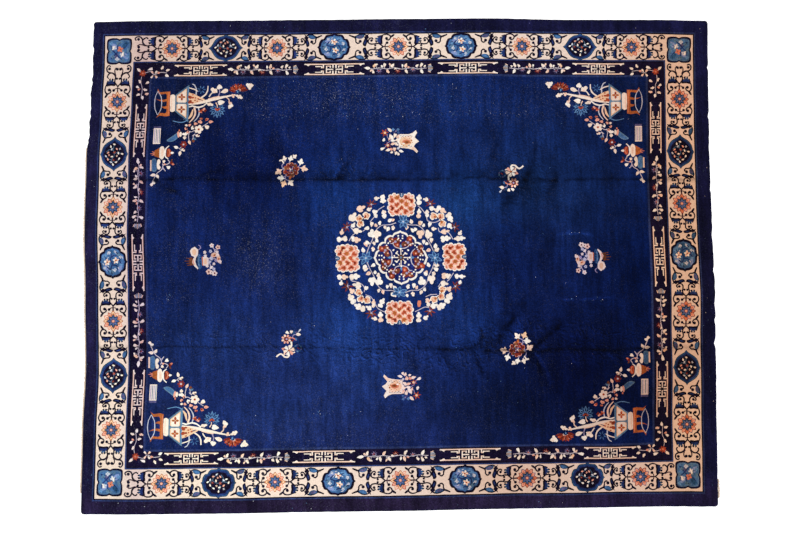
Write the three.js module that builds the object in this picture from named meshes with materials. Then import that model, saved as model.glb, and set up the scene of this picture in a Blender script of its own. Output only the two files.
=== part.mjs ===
// A hand-knotted wool rug that lies flat on the floor, with the short cotton warp ends that
// are left along its two ends. Millimetres, +Z up: X runs along the rug, Y across it, and the
// origin is on the floor under the middle of the whole part.
import * as THREE from "three";
import { mergeVertices } from "three/addons/utils/BufferGeometryUtils.js";

// Driving dimensions
const RUG_LENGTH = 3505; // knotted pile, end to end
const RUG_WIDTH = 2750; // selvedge to selvedge
const EDGE_HEIGHT = 6; // upright wall of foundation and pile at the edge
const PILE_TOP = 9; // floor to the top of the pile
const RIM_SLOPE = 7; // how far the pile's top draws in from the wall
const CORNER_RADIUS = 26; // worn corners, rounded off in plan
const GRID_STEP = 140; // spacing of the grid lines over the pile
const FOLD_SPREAD = 42; // half width of a fold's ridge
const FIT_GAP = 0.3; // clearance between a fringe strip and the rug's edge
const STRIP_WIDTH = 5; // woven cotton web that holds the fringe
const STRAND_PITCH = 11; // a lock of several warps
const STRAND_ROOT = 5.2; // width of a strand where it leaves the web
const STRAND_TIP = 2.6;
const FRINGE_HEIGHT = 1.6; // thickness of the web and the strands
const STRAND_SEED = 11; // start of the strands' uneven lengths

// How far the two ends stand out from the straight outline, at places across the rug
const END_BOWS = [
  { at: -1375, left: 10, right: -12 },
  { at: -950, left: 4.5, right: -7 },
  { at: -570, left: -8, right: 0 },
  { at: -190, left: 0, right: 7 },
  { at: 190, left: 10, right: 1 },
  { at: 560, left: 5, right: -2 },
  { at: 940, left: -10, right: 2 },
  { at: 1130, left: -18, right: 5 },
  { at: 1375, left: -21, right: 10 },
];

// The same for the two selvedges, at places along the rug
const SIDE_BOWS = [
  { at: -1752.5, near: 0, far: -11 },
  { at: -1430, near: 4, far: -5.5 },
  { at: -950, near: 5, far: -4 },
  { at: -480, near: 2, far: 0 },
  { at: 0, near: 2, far: 5 },
  { at: 480, near: -2.5, far: 8 },
  { at: 960, near: -3.5, far: -1 },
  { at: 1430, near: -5.5, far: -1.5 },
  { at: 1752.5, near: -1.5, far: -7 },
];

// Old fold lines that still stand up a little, along X at a place across the rug
const FOLDS = [
  { at: 457, rise: 3 },
  { at: -488, rise: 2.5 },
];

// Length of the cotton ends beyond the web, at places across the rug
const LEFT_STRANDS = [
  { at: -1262, reach: 4 },
  { at: -1150, reach: 7 },
  { at: -700, reach: 8 },
  { at: -520, reach: 6 },
  { at: -150, reach: 9 },
  { at: 180, reach: 8 },
  { at: 420, reach: 4 },
  { at: 648, reach: 3 },
];
const RIGHT_STRANDS = [
  { at: -1330, reach: 6 },
  { at: -1290, reach: 11 },
  { at: -1225, reach: 7 },
];

const smooth = (from, to, share) => from + ((to - from) * (1 - Math.cos(Math.PI * share))) / 2;

// A column of a table at any place, eased between its rows
function valueAt(rows, column, place) {
  const next = rows.findIndex((row) => row.at >= place);
  if (next < 0) return rows[rows.length - 1][column];
  if (next === 0) return rows[0][column];
  const [low, high] = [rows[next - 1], rows[next]];
  return smooth(low[column], high[column], (place - low.at) / (high.at - low.at));
}

// A point of the straight rectangle moved to its place inside the uneven outline
function placeInOutline(x, y) {
  const along = x / RUG_LENGTH + 0.5;
  const across = y / RUG_WIDTH + 0.5;
  return new THREE.Vector2(
    x + THREE.MathUtils.lerp(-valueAt(END_BOWS, "left", y), valueAt(END_BOWS, "right", y), along),
    y + THREE.MathUtils.lerp(-valueAt(SIDE_BOWS, "near", x), valueAt(SIDE_BOWS, "far", x), across),
  );
}

// Height that the folds add to the pile
function foldRise(y) {
  return FOLDS.reduce((sum, fold) => {
    const off = Math.min(Math.abs(y - fold.at) / FOLD_SPREAD, 1);
    return sum + smooth(fold.rise, 0, off);
  }, 0);
}

// Grid lines over one direction of the rug: even steps, the corner's arc and the folds' lines
function gridLines(size, extras) {
  const half = size / 2;
  const steps = Math.round(size / GRID_STEP);
  const even = Array.from({ length: steps + 1 }, (_, i) => -half + (size * i) / steps);
  const corner = [CORNER_RADIUS / 2, CORNER_RADIUS].flatMap((inset) => [inset - half, half - inset]);
  const clear = (line) => !extras.some((extra) => Math.abs(extra - line) < FOLD_SPREAD / 2);
  return [...even.filter(clear), ...corner, ...extras].sort((a, b) => a - b);
}

const foldLines = FOLDS.flatMap(({ at }) => [-1, -0.5, 0, 0.5, 1].map((k) => at + k * FOLD_SPREAD));
const xLines = gridLines(RUG_LENGTH, []);
const yLines = gridLines(RUG_WIDTH, foldLines);

// A point of the rectangle drawn in by an inset at the rim and rounded at the corners
function drawIn(x, y, inset) {
  const centreX = RUG_LENGTH / 2 - CORNER_RADIUS;
  const centreY = RUG_WIDTH / 2 - CORNER_RADIUS;
  const reach = new THREE.Vector2(Math.abs(x) - centreX, Math.abs(y) - centreY);
  const widest = CORNER_RADIUS - inset;
  if (reach.x > 0 && reach.y > 0) reach.setLength(Math.min(Math.max(reach.x, reach.y), widest));
  else reach.set(Math.min(reach.x, widest), Math.min(reach.y, widest));
  return placeInOutline(Math.sign(x) * (centreX + reach.x), Math.sign(y) * (centreY + reach.y));
}

// The rug: a box whose grid follows the outline, with a sloped rim and the folds' ridges
function rugGeometry() {
  const along = xLines.length - 1;
  const across = yLines.length - 1;
  const box = new THREE.BoxGeometry(along, across, 2, along, across, 2);
  box.deleteAttribute("normal");
  box.deleteAttribute("uv");
  const geometry = mergeVertices(box);
  const points = geometry.attributes.position;
  for (let i = 0; i < points.count; i++) {
    const x = xLines[Math.round(points.getX(i) + along / 2)];
    const y = yLines[Math.round(points.getY(i) + across / 2)];
    const level = Math.round(points.getZ(i)) + 1; // underside, edge, top
    const heights = [0, EDGE_HEIGHT, PILE_TOP + foldRise(y)];
    const place = drawIn(x, y, level === 2 ? RIM_SLOPE : 0);
    points.setXYZ(i, place.x, place.y, heights[level]);
  }
  geometry.computeVertexNormals();
  return geometry;
}

// The rug's wall at one end, as a function of the place across the rug
function endWall(side) {
  const wall = yLines.map((y) => placeInOutline((side * RUG_LENGTH) / 2, y));
  return (y) => {
    const next = wall.findIndex((point) => point.y >= y);
    const [low, high] = [wall[next - 1], wall[next]];
    return THREE.MathUtils.mapLinear(y, low.y, high.y, low.x, high.x);
  };
}

// A cotton web along one end with its strands: a comb cut from flat stock that lies on the floor
function fringeGeometry(side, rows) {
  const wallAt = endWall(side);
  const edge = (y, out) => new THREE.Vector2(wallAt(y) + side * (FIT_GAP + out), y);
  const [start, end] = [rows[0].at, rows[rows.length - 1].at];
  const kinks = yLines.map((y) => placeInOutline((side * RUG_LENGTH) / 2, y).y);
  const inner = [start, ...kinks.filter((y) => y > start && y < end), end];
  const outline = inner.map((y) => edge(y, 0));
  const strands = Math.floor((end - start) / STRAND_PITCH);
  for (let i = strands - 1; i >= 0; i--) {
    const y = start + (i + 0.5) * ((end - start) / strands);
    const reach = valueAt(rows, "reach", y) * (0.7 + 0.6 * THREE.MathUtils.seededRandom());
    const lean = (THREE.MathUtils.seededRandom() - 0.5) * (STRAND_PITCH - STRAND_ROOT);
    outline.push(
      edge(y + STRAND_ROOT / 2, STRIP_WIDTH),
      edge(y + lean + STRAND_TIP / 2, STRIP_WIDTH + reach),
      edge(y + lean - STRAND_TIP / 2, STRIP_WIDTH + reach),
      edge(y - STRAND_ROOT / 2, STRIP_WIDTH),
    );
  }
  return new THREE.ExtrudeGeometry(new THREE.Shape(outline), {
    depth: FRINGE_HEIGHT,
    bevelEnabled: false,
  });
}

const wool = { color: 0x1c2c62, roughness: 0.95, metalness: 0 };
const cotton = { color: 0xe6dcc8, roughness: 0.9, metalness: 0 };

// One named piece with its own finish
function piece(name, geometry, finish) {
  const mesh = new THREE.Mesh(geometry, new THREE.MeshStandardMaterial(finish));
  mesh.name = name;
  return mesh;
}

THREE.MathUtils.seededRandom(STRAND_SEED);
const pieces = new THREE.Group();
pieces.add(
  piece("rug", rugGeometry(), wool),
  piece("fringe_left", fringeGeometry(-1, LEFT_STRANDS), cotton),
  piece("fringe_right", fringeGeometry(1, RIGHT_STRANDS), cotton),
);
const middle = new THREE.Box3().setFromObject(pieces).getCenter(new THREE.Vector3());
pieces.position.set(-middle.x, -middle.y, 0);

const part = new THREE.Group();
part.add(pieces);

export default part;
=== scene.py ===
import math
import random

import bpy
import numpy as np
from mathutils import Matrix, Vector, noise
from mathutils.bvhtree import BVHTree
from mathutils.geometry import delaunay_2d_cdt


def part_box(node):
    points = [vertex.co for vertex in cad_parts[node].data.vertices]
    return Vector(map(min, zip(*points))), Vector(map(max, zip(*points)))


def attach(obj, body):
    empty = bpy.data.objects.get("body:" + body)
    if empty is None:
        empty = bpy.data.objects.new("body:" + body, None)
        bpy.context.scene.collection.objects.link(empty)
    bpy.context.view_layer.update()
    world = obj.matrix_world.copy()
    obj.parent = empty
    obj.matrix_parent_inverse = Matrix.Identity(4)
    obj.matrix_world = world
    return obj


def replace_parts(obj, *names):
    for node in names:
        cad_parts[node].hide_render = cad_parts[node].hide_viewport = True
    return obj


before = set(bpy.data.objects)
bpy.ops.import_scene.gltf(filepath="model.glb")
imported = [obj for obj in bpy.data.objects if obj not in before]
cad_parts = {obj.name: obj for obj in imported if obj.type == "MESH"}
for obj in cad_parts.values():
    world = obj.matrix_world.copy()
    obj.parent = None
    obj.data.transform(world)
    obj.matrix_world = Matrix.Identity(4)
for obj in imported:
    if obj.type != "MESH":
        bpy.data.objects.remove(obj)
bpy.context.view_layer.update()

mm = 0.001
dice = random.Random(1911)

# the woven piece, in millimetres, laid out flat before its edges bow
rug = {
    "length": 3505, "width": 2750,
    "pileTop": 9, "rimSlope": 7, "cornerRadius": 16,
    "rimStep": 15,  # spacing of the points round the rim
    "netStep": 52,  # spacing of the points that carry the folds
    "longEdge": 30,  # longest straight piece in the edge of a shape
    "weld": 0.02,  # points closer than this are one
    # how far the ends and the selvedges stand out, at places across and along the rug
    "endBows": {
        "at": (-1375, -950, -570, -190, 190, 560, 940, 1130, 1375),
        "left": (10, 4.5, -8, 0, 10, 5, -10, -18, -21),
        "right": (-12, -7, 0, 7, 1, -2, 2, 5, 10),
    },
    "sideBows": {
        "at": (-1752.5, -1430, -950, -480, 0, 480, 960, 1430, 1752.5),
        "near": (0, 4, 5, 2, 2, -2.5, -3.5, -5.5, -1.5),
        "far": (-11, -5.5, -4, 0, 5, 8, -1, -1.5, -7),
    },
}

# dyed wools, as screen colours
dyes = {
    "edgeNavy": (20, 20, 54), "field": (14, 32, 86), "navy": (22, 16, 46), "midnight": (18, 26, 82),
    "ink": (19, 12, 36), "sepia": (52, 30, 46), "line": (46, 60, 108), "deepBlue": (34, 52, 108),
    "blue": (72, 112, 162), "teal": (46, 88, 132), "slate": (96, 128, 156), "sky": (104, 148, 194),
    "periwinkle": (132, 150, 200), "mist": (206, 208, 220), "lilac": (168, 156, 190),
    "dusk": (92, 88, 130), "stem": (214, 202, 210), "ground": (243, 220, 205), "ivory": (252, 235, 219),
    "cream": (255, 246, 235), "blush": (250, 213, 190), "pink": (242, 174, 152),
    "salmon": (220, 132, 104), "peach": (246, 203, 166), "rust": (178, 76, 46), "brick": (124, 42, 32),
    "tan": (186, 102, 52), "brown": (122, 70, 44),
}


# a step of one in a direction, in degrees
def heading(turn):
    return complex(math.cos(math.radians(turn)), math.sin(math.radians(turn)))


# points on a smooth curve through a few chosen ones
def curve(points, closed=False, step=6.0):
    count = len(points)
    line = []
    for i in range(count if closed else count - 1):
        b, c = points[i], points[(i + 1) % count]
        a = points[i - 1] if closed or i else 2 * b - c
        d = points[(i + 2) % count] if closed or i + 2 < count else 2 * c - b
        parts = max(1, round(abs(c - b) / step))
        for k in range(parts):
            t = k / parts
            line.append(b + (c - a) * t / 2 + (2 * a - 5 * b + 4 * c - d) * t * t / 2
                        + (3 * b - a - 3 * c + d) * t ** 3 / 2)
    return line if closed else line + [points[-1]]


# draws shapes on the cartoon, the plan that the knots follow, each on top of the last
class Pen:
    def __init__(self, shapes, place=0j, along=1 + 0j, across=1j):
        self.shapes, self.place, self.along, self.across = shapes, place, along, across

    def spot(self, p):
        return self.place + self.along * p.real + self.across * p.imag

    # a pen for a motif that is moved, turned, sized or mirrored
    def at(self, x, y, turn=0, size=1, flip=False):
        way = size * heading(turn)
        side = way * (-1j if flip else 1j)
        base = self.spot(0j)
        return Pen(self.shapes, self.spot(complex(x, y)), self.spot(way) - base, self.spot(side) - base)

    def fill(self, dye, points):
        self.shapes.append((dye, [self.spot(p) for p in points]))

    def poly(self, dye, *points):
        self.fill(dye, [complex(*p) for p in points])

    def shape(self, dye, *points, step=6):
        self.fill(dye, curve([complex(*p) for p in points], True, step))

    def bar(self, dye, x0, y0, x1, y1):
        self.poly(dye, (x0, y0), (x1, y0), (x1, y1), (x0, y1))

    def oval(self, dye, x, y, w, h, turn=0):
        count = max(8, round((w + h) / 4))
        pen = self.at(x, y, turn)
        angles = [2 * math.pi * k / count for k in range(count)]
        pen.fill(dye, [complex(w / 2 * math.cos(a), h / 2 * math.sin(a)) for a in angles])

    def dot(self, dye, x, y, r):
        self.oval(dye, x, y, 2 * r, 2 * r)

    # a bud about its middle, round behind and pointed the way that it is turned
    def bud(self, dye, x, y, length, width, turn=0):
        pen = self.at(x, y, turn)
        side = [(-0.5, 0), (-0.42, 0.3), (-0.18, 0.5), (0.12, 0.42), (0.34, 0.2), (0.5, 0)]
        upper = [complex(length * a, width * b) for a, b in side]
        pen.fill(dye, upper + [p.conjugate() for p in upper[-2:0:-1]])

    # a line of one width or of a width at each point
    def line(self, dye, width, *points, step=6):
        spots = [complex(*p) for p in points]
        path = curve(spots, False, step)
        widths = width if isinstance(width, (tuple, list)) else [width] * len(spots)
        reach = np.interp(np.linspace(0, 1, len(path)), np.linspace(0, 1, len(widths)), widths)
        upper, lower = [], []
        for i, p in enumerate(path):
            ahead = path[min(i + 1, len(path) - 1)] - path[max(i - 1, 0)]
            side = 1j * ahead / (abs(ahead) or 1) * reach[i] / 2
            upper.append(p + side)
            lower.append(p - side)
        self.fill(dye, lower + upper[::-1])

    def lines(self, dye, width, paths):
        for path in paths:
            self.line(dye, width, *path)

    # round petals about a heart
    def blossom(self, x, y, r, dye="ivory", heart="rust", petals=5, turn=0):
        for k in range(petals):
            a = math.radians(turn) + 2 * math.pi * k / petals
            self.oval(dye, x + 0.58 * r * math.cos(a), y + 0.58 * r * math.sin(a), 0.9 * r, 0.8 * r,
                      math.degrees(a))
        self.dot(heart, x, y, 0.26 * r)

    # pointed petals over a part of a circle
    def fan(self, dye, x, y, r, turn=0, spread=360, petals=7, width=0.3, inner=0.15):
        for k in range(petals):
            share = k / petals if spread == 360 else k / (petals - 1) - 0.5
            a = turn + spread * share
            middle = heading(a) * r * (1 + inner) / 2
            self.bud(dye, x + middle.real, y + middle.imag, r * (1 - inner), r * width, a)


# a closed outline from the points of its first quarter
def fourWays(quarter, size=1.0):
    right = [complex(size * x, size * y) for x, y in quarter]
    left = [-p.conjugate() for p in right[::-1] if p.real]
    upper = right + left
    lower = [p.conjugate() for p in upper[::-1] if p.imag]
    return upper + lower


# outlines of woven leaves, their foot at the left: a notched petal, a drop and a leaf of three lobes
leafRings = (
    ((-0.5, 0), (-0.32, 0.2), (-0.06, 0.42), (0.2, 0.5), (0.42, 0.4), (0.5, 0.18), (0.41, 0),
     (0.48, -0.2), (0.38, -0.44), (0.14, -0.48), (-0.1, -0.36), (-0.34, -0.16)),
    ((-0.5, 0), (-0.42, 0.3), (-0.18, 0.5), (0.1, 0.42), (0.32, 0.22), (0.5, 0.02), (0.3, -0.2),
     (0.1, -0.44), (-0.16, -0.48), (-0.4, -0.32)),
    ((-0.5, 0), (-0.36, 0.2), (-0.28, 0.46), (-0.06, 0.5), (0.06, 0.3), (0.2, 0.42), (0.4, 0.34),
     (0.5, 0.06), (0.42, -0.2), (0.2, -0.3), (0.1, -0.5), (-0.14, -0.46), (-0.26, -0.28), (-0.4, -0.16)),
)
leafShades = {"ivory": "blush", "cream": "ivory", "blush": "pink", "pink": "salmon", "peach": "pink",
              "rust": "brick", "salmon": "rust"}


# a leaf about its middle, of one of the three outlines, with a shaded side
def leaf(pen, dye, x, y, length, width, turn=0):
    pick = int(abs(3 * x + 7 * y)) % 3
    own = pen.at(x, y, turn)
    own.shape(dye, *[(1.08 * length * a, 1.08 * width * b) for a, b in leafRings[pick]])
    if dye in leafShades and length > 15:
        shaded = [(0.5 * length * a, 0.4 * width * b) for a, b in leafRings[1]]
        own.at(-0.12 * length, -0.14 * width).shape(leafShades[dye], *shaded)


def leaves(pen, rows):
    for x, y, long, wide, turn, dye in rows:
        leaf(pen, dye, x, y, long, wide, turn)


# a pointed star flower with a pale heart
def starFlower(pen, x, y, r, turn=0, dye="rust", heart="lilac"):
    pen.fan(dye, x, y, r, turn, 360, 7, 0.3, 0.1)
    pen.dot(heart, x, y, 0.24 * r)


# ivory border
borders = {
    "outer": (-1682, 1666, -1292, 1291), "inner": (-1522, 1506, -1133, 1143),
    "frets": (-1504, 1490, -1117, 1127), "guard": (-1423, 1403, -1037, 1054),
    "field": (-1412, 1392, -1026, 1043),
    # where the motifs of the ivory border stand, from corner to corner
    "far": (-1598, -1306, -1001, -711, -388, -22, 335, 684, 1017, 1313, 1584),
    "near": (-1602, -1319, -1007, -698, -353, -9, 347, 691, 1026, 1322, 1589),
    "left": (-1203, -918, -620, -319, 10, 316, 617, 914, 1205),
    "right": (-1203, -922, -608, -292, 24, 317, 615, 918, 1203),
    "blocks": {"near": -1203, "far": 1204}, "scrollWidth": 0.86, "scrollDots": 0.92,
    "richFrom": 300,  # the near border has darker rosettes from here on
    "lines": {"far": 1217, "near": -1211, "left": -1602, "right": 1586},
    # middle and length of each fret
    "farFrets": ((-1141, 298), (-385, 340), (374, 342), (1121, 298)),
    "nearFrets": ((-1160, 295), (-433, 343), (376, 338), (1154, 292)),
    "leftFrets": ((748, 298), (5, 320), (-742, 305)),
    "rightFrets": ((750, 294), (15, 340), (-730, 310)),
    # where each flower spray starts and ends
    "farSprays": ((-985, -600), (-215, 165), (960, 585)),
    "nearSprays": ((-1015, -630), (-250, 175), (1005, 585)),
    "leftSprays": ((590, 205), (-575, -175)),
    "rightSprays": ((585, 225), (-570, -175)),
}


def rosette(pen, rich):
    petals = (("tan", "peach"), ("rust", "pink"), ("salmon", "blush"))
    if rich:
        petals = (("brick", "salmon"), ("dusk", "pink"), ("brick", "pink"))
    pen.dot("ground", 0, 0, 50)
    for k in range(12):
        petal = pen.at(0, 0, 30 * k, 1 - 0.06 * (k % 2))
        rim, body = petals[k % 3]
        petal.shape(rim, (24, 0), (35, 13), (47, 10), (58, 0), (47, -10), (35, -13), step=5)
        petal.shape(body, (27, 0), (37, 9), (46, 7), (53, 0), (46, -7), (37, -9), step=5)
        petal.shape("salmon" if k % 3 else "tan", (28, 0), (36, 5), (44, 0), (36, -5), step=5)
    pen.dot("peach", 0, 0, 29)
    pen.fan("ink", 0, 0, 38, 0, 360, 8, 0.64, 0)
    pen.fan("blue", 0, 0, 33, 0, 360, 8, 0.4, 0.2)
    pen.fan("deepBlue", 0, 0, 29, 0, 360, 8, 0.26, 0.24)
    pen.fan("lilac", 0, 0, 26, 0, 360, 8, 0.1, 0.36)
    pen.dot("brick", 0, 0, 10)
    pen.dot("pink", 0, 0, 7.5)


lozengeQuarter = ((92, 0), (80, 9), (69, 27), (55, 47), (35, 61), (13, 66), (0, 73))
cartoucheQuarter = ((91, 0), (84, 7), (81, 25), (71, 42), (57, 45), (51, 57), (40, 67), (16, 69), (7, 71),
                    (0, 76))


# small blossoms, each a few petals of uneven size
def sprinkle(pen, rows):
    for x, y, r, dye, heart in rows:
        for k in range(4):
            a = 90 * k + 11 * x + 5 * y
            way = heading(a)
            long, wide = r * (1.25 - 0.12 * k), r * (0.95 - 0.08 * k)
            pen.bud(dye, x + 0.5 * r * way.real, y + 0.5 * r * way.imag, long, wide, a + 180)
        pen.dot(heart, x, y, 0.22 * r)


def lozenge(pen, quarter):
    for dye, size in (("ink", 1.08), ("teal", 1.04), ("deepBlue", 0.97), ("ink", 0.83)):
        pen.fill(dye, curve(fourWays(quarter, size), True, 4))
    pen.lines("slate", 2.6,
              (((-62, 2), (-34, 12), (-6, -2), (26, 6), (60, 0)), ((-34, 12), (-26, 32), (-6, 46)),
               ((4, 0), (10, -26), (-2, -46)), ((20, 4), (26, 26), (12, 44)),
               ((-40, 6), (-44, -16), (-24, -32))))
    for i, (x, y, turn) in enumerate((
            (-58, 5, 30), (-46, -12, 110), (-45, 17, 70), (-28, 34, 20), (-27, -29, 150), (-14, 12, 100),
            (-10, 46, 40), (9, 34, 130), (6, -24, 20), (1, -45, 80), (28, 14, 150), (30, -14, 40),
            (44, 20, 10), (56, 2, 70))):
        pen.bud(("cream", "ivory", "mist", "pink")[i % 4], x, y, 16, 9, turn)
    sprinkle(pen,
             ((-34, 1, 8, "brick", "pink"), (11, -2, 8, "rust", "pink"), (-4, 27, 6, "pink", "brick"),
              (30, -32, 6, "mist", "rust"), (-10, -16, 6, "blush", "rust")))


def cartouche(pen):
    for dye, size in (("ink", 1.06), ("deepBlue", 0.91), ("blue", 0.88)):
        pen.fill(dye, curve(fourWays(cartoucheQuarter, size), True, 4))
    for x, y, long, wide, turn, dye in (
            (-30, -42, 58, 20, -14, "periwinkle"), (40, -32, 44, 20, 30, "slate"),
            (-54, 8, 34, 22, 80, "slate"), (34, 40, 44, 16, -20, "sky"), (56, 4, 30, 24, 70, "teal"),
            (-34, 36, 44, 18, 24, "periwinkle"), (6, -4, 50, 18, 10, "teal")):
        pen.bud(dye, x, y, long, wide, turn)
    pen.lines("deepBlue", (5, 8, 3),
              (((-70, 2), (-44, 12), (-14, 2), (12, 12), (40, 6), (64, 16)),
               ((-44, 12), (-30, 28), (-8, 26)), ((-20, 4), (-22, -22), (-46, -28)),
               ((20, 12), (38, -10), (28, -36)), ((6, 10), (14, 34), (36, 46)),
               ((-12, -48), (8, -38), (32, -46)), ((-60, 18), (-46, 30)), ((46, -30), (60, -14))))
    pen.lines("mist", (2, 5, 2),
              (((-58, -16), (-48, -6), (-42, 4)), ((40, 28), (54, 24), (60, 14)), ((46, -22), (56, -12)),
               ((-42, -36), (-30, -28)), ((-20, 50), (-6, 54)), ((16, -56), (30, -54)),
               ((-30, 20), (-18, 34)), ((18, 28), (28, 22))))
    for x, y, turn in ((-2, 30, 20), (7, -18, -40)):
        for k in range(5):
            u, v = x + 10 * math.cos(1.257 * k), y + 9 * math.sin(1.257 * k)
            leaf(pen, "cream" if k % 2 else "blush", u, v, 17, 11, 72 * k)
        pen.oval("tan", x, y, 12, 9, turn)
    sprinkle(pen,
             ((-44, -12, 10, "mist", "slate"), (50, 20, 10, "mist", "slate"),
              (-52, 16, 9, "sky", "deepBlue"), (-18, -44, 10, "sky", "ink"),
              (28, -44, 9, "mist", "periwinkle"), (30, 52, 9, "sky", "deepBlue"),
              (-34, 46, 9, "mist", "blue"), (58, -14, 8, "mist", "periwinkle")))


# a scalloped block in each corner of the ivory border
def cornerBlock(pen):
    quarter = ((63, 0), (69, 15), (70, 46), (66, 66), (48, 74), (15, 74), (0, 67))
    for dye, size in (("ink", 1.02), ("deepBlue", 0.91), ("slate", 0.87), ("blue", 0.82)):
        pen.fill(dye, curve(fourWays(quarter, size), True))
    for x, y, long, wide, turn, dye in (
            (-30, 30, 46, 26, 130, "periwinkle"), (34, 36, 44, 24, 40, "teal"),
            (36, -30, 46, 28, -50, "periwinkle"), (-34, -34, 44, 24, 220, "teal"),
            (2, 50, 40, 14, 10, "slate"), (-4, -52, 40, 14, 5, "slate"), (48, 6, 34, 12, 85, "slate"),
            (-48, 2, 34, 12, 80, "slate"), (-14, -26, 34, 18, 60, "dusk"),
            (22, -8, 40, 20, -70, "slate")):
        pen.bud(dye, x, y, long, wide, turn)
    pen.lines("deepBlue", (7, 6, 4),
              (((-48, -46), (-20, -14), (2, 6), (30, 18), (50, 46)), ((-20, -14), (-40, 8), (-44, 34)),
               ((-6, -2), (-12, 28), (4, 50)), ((4, 6), (20, -20), (46, -26)),
               ((-18, -16), (0, -36), (20, -52))))
    sprinkle(pen,
             ((-28, 20, 13, "mist", "lilac"), (6, 10, 17, "salmon", "rust"),
              (16, -22, 14, "mist", "slate"), (-36, -30, 11, "slate", "deepBlue"),
              (36, 44, 13, "teal", "ink"), (44, -30, 11, "sky", "blue"), (-12, -46, 12, "mist", "blue"),
              (-8, 46, 11, "slate", "ink"), (-46, 44, 11, "sky", "blue"), (22, -52, 9, "slate", "ink")))
    pen.line("cream", (4, 8, 4), (-40, 8), (-34, 18), (-30, 32))
    pen.line("cream", (4, 8, 4), (12, -30), (20, -18), (22, -4))


# the scrolls from a rosette at the start of the line towards the motif that stands a span away
def scrolls(pen, span, curl=False):
    stretch = (span - 130) / 135 if curl else (span - 60) / 256

    def on(u, v):
        return (60 + (u - 60) * stretch if u > 60 else u, v)

    def way(rows):
        return [on(u, v) for u, v in rows]

    pen.line("sepia", (9, 6, 7), *way(((46, 0), (66, 0), (84, 0))))
    for side in (1, -1):
        half = pen.at(0, 0, 0, 1, side < 0)

        def stroke(dye, width, *rows):
            half.line(dye, [w * borders["scrollWidth"] for w in width], *way(rows), step=5)

        def patch(dye, *rows):
            half.shape(dye, *way(rows), step=5)

        def spot(u, v, r):
            half.dot("ink", *way(((u, v),))[0], r * borders["scrollDots"])

        # hook by the rosette, its spiral and the arc to the leaf
        stroke("ink", (8, 14, 13, 11), (24, 69), (34, 63), (43, 56), (50, 55))
        stroke("ink", (10, 9, 9, 9), (44, 55), (50, 43), (60, 37), (69, 41))
        spot(67, 47, 9.5)
        stroke("ink", (11, 9, 8, 9), (43, 57), (54, 67), (70, 71), (86, 66), (94, 60))
        stroke("sepia", (6, 7), (74, 0), (72, 12), (66, 20))
        spot(64, 22, 9)
        # domed half leaf
        patch("ink", (86, 67), (100, 65), (113, 58), (122, 46), (123, 38), (118, 25), (107, 16), (91, 12),
              (85, 20), (87, 40), (84, 54))
        patch("deepBlue", (94, 58), (104, 58), (112, 50), (115, 42), (110, 30), (101, 21), (95, 22),
              (96, 40))
        patch("teal", (106, 55), (113, 49), (117, 43), (114, 34), (109, 29), (109, 36), (106, 42),
              (108, 48))
        for notch in (((115, 60), (106, 51), (121, 52)), ((126, 44), (108, 39), (125, 36)),
                      ((120, 25), (105, 28), (113, 16))):
            half.poly("ground", *way(notch))
        stroke("ink", (9, 9, 8), (82, 0), (92, 10), (103, 18), (116, 18))
        spot(120, 8, 7.5)
        if curl:  # a last hook beside the corner block
            stroke("ink", (9, 10, 11, 10, 9, 8), (112, 20), (126, 15), (140, 22), (148, 36), (149, 52),
                   (158, 66), (174, 68), (184, 57), (178, 46))
            spot(168, 53, 9.5)
            stroke("ink", (10, 9, 8), (149, 46), (140, 58), (128, 62), (122, 54))
            stroke("sepia", (8, 8, 7), (134, 14), (150, 22), (164, 22), (174, 14))
            spot(166, 9, 9.5)
            continue
        # spiral of the middle and the winged crescent
        stroke("ink", (8, 9, 9, 9, 9, 9), (112, 22), (126, 16), (142, 16), (153, 24), (153, 38),
               (146, 49), (136, 51), (131, 43))
        spot(138, 36, 8.5)
        patch("ink", (150, 77), (155, 64), (149, 54), (157, 46), (154, 32), (161, 16), (166, 2), (178, 8),
              (180, 22), (175, 36), (171, 48), (175, 58), (163, 67))
        patch("deepBlue", (163, 38), (165, 22), (171, 12), (174, 22), (169, 36))
        stroke("ink", (9, 9, 9, 10), (158, 62), (167, 69), (182, 73), (198, 70), (212, 62), (220, 56))
        patch("teal", (173, 69), (177, 54), (192, 47), (208, 49), (217, 55), (207, 65), (190, 70))
        patch("blue" if side > 0 else "dusk", (181, 67), (185, 55), (200, 51), (210, 55), (200, 64))
        stroke("ink", (11, 9, 9, 10), (218, 56), (213, 42), (213, 29), (204, 20), (195, 23))
        spot(192, 32, 10)
        stroke("ink", (11, 13, 12, 8), (212, 54), (222, 57), (234, 62), (247, 68))


def ivoryBorder(pen):
    for name, count, turn in (("far", 11, 0), ("near", 11, 0), ("left", 9, 90), ("right", 9, 90)):
        places = borders[name]
        offset = borders["lines"][name]

        def station(place):
            x, y = (place, offset) if turn == 0 else (offset, place)
            return pen.at(x, y, turn)

        for i in range(1, count - 1, 2):  # rosettes, with scrolls to either side
            for step, facing in ((1, 0), (-1, 180)):
                span = abs(places[i + step] - places[i])
                atCorner = i + step in (0, count - 1)
                scrolls(station(places[i]).at(0, 0, facing), span, atCorner)
            rosette(station(places[i]),
                    name == "right" or name == "near" and places[i] > borders["richFrom"])
        for i in range(2, count - 2, 2):
            if i in (2, count - 3):
                lozenge(station(places[i]), cartoucheQuarter if name == "near" else lozengeQuarter)
            else:
                cartouche(station(places[i]))
    for side, turn in (("left", 0), ("right", 180)):
        cornerBlock(pen.at(borders["lines"][side], borders["blocks"]["near"], 0, 1, True))
        cornerBlock(pen.at(borders["lines"][side], borders["blocks"]["far"], turn))


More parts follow.
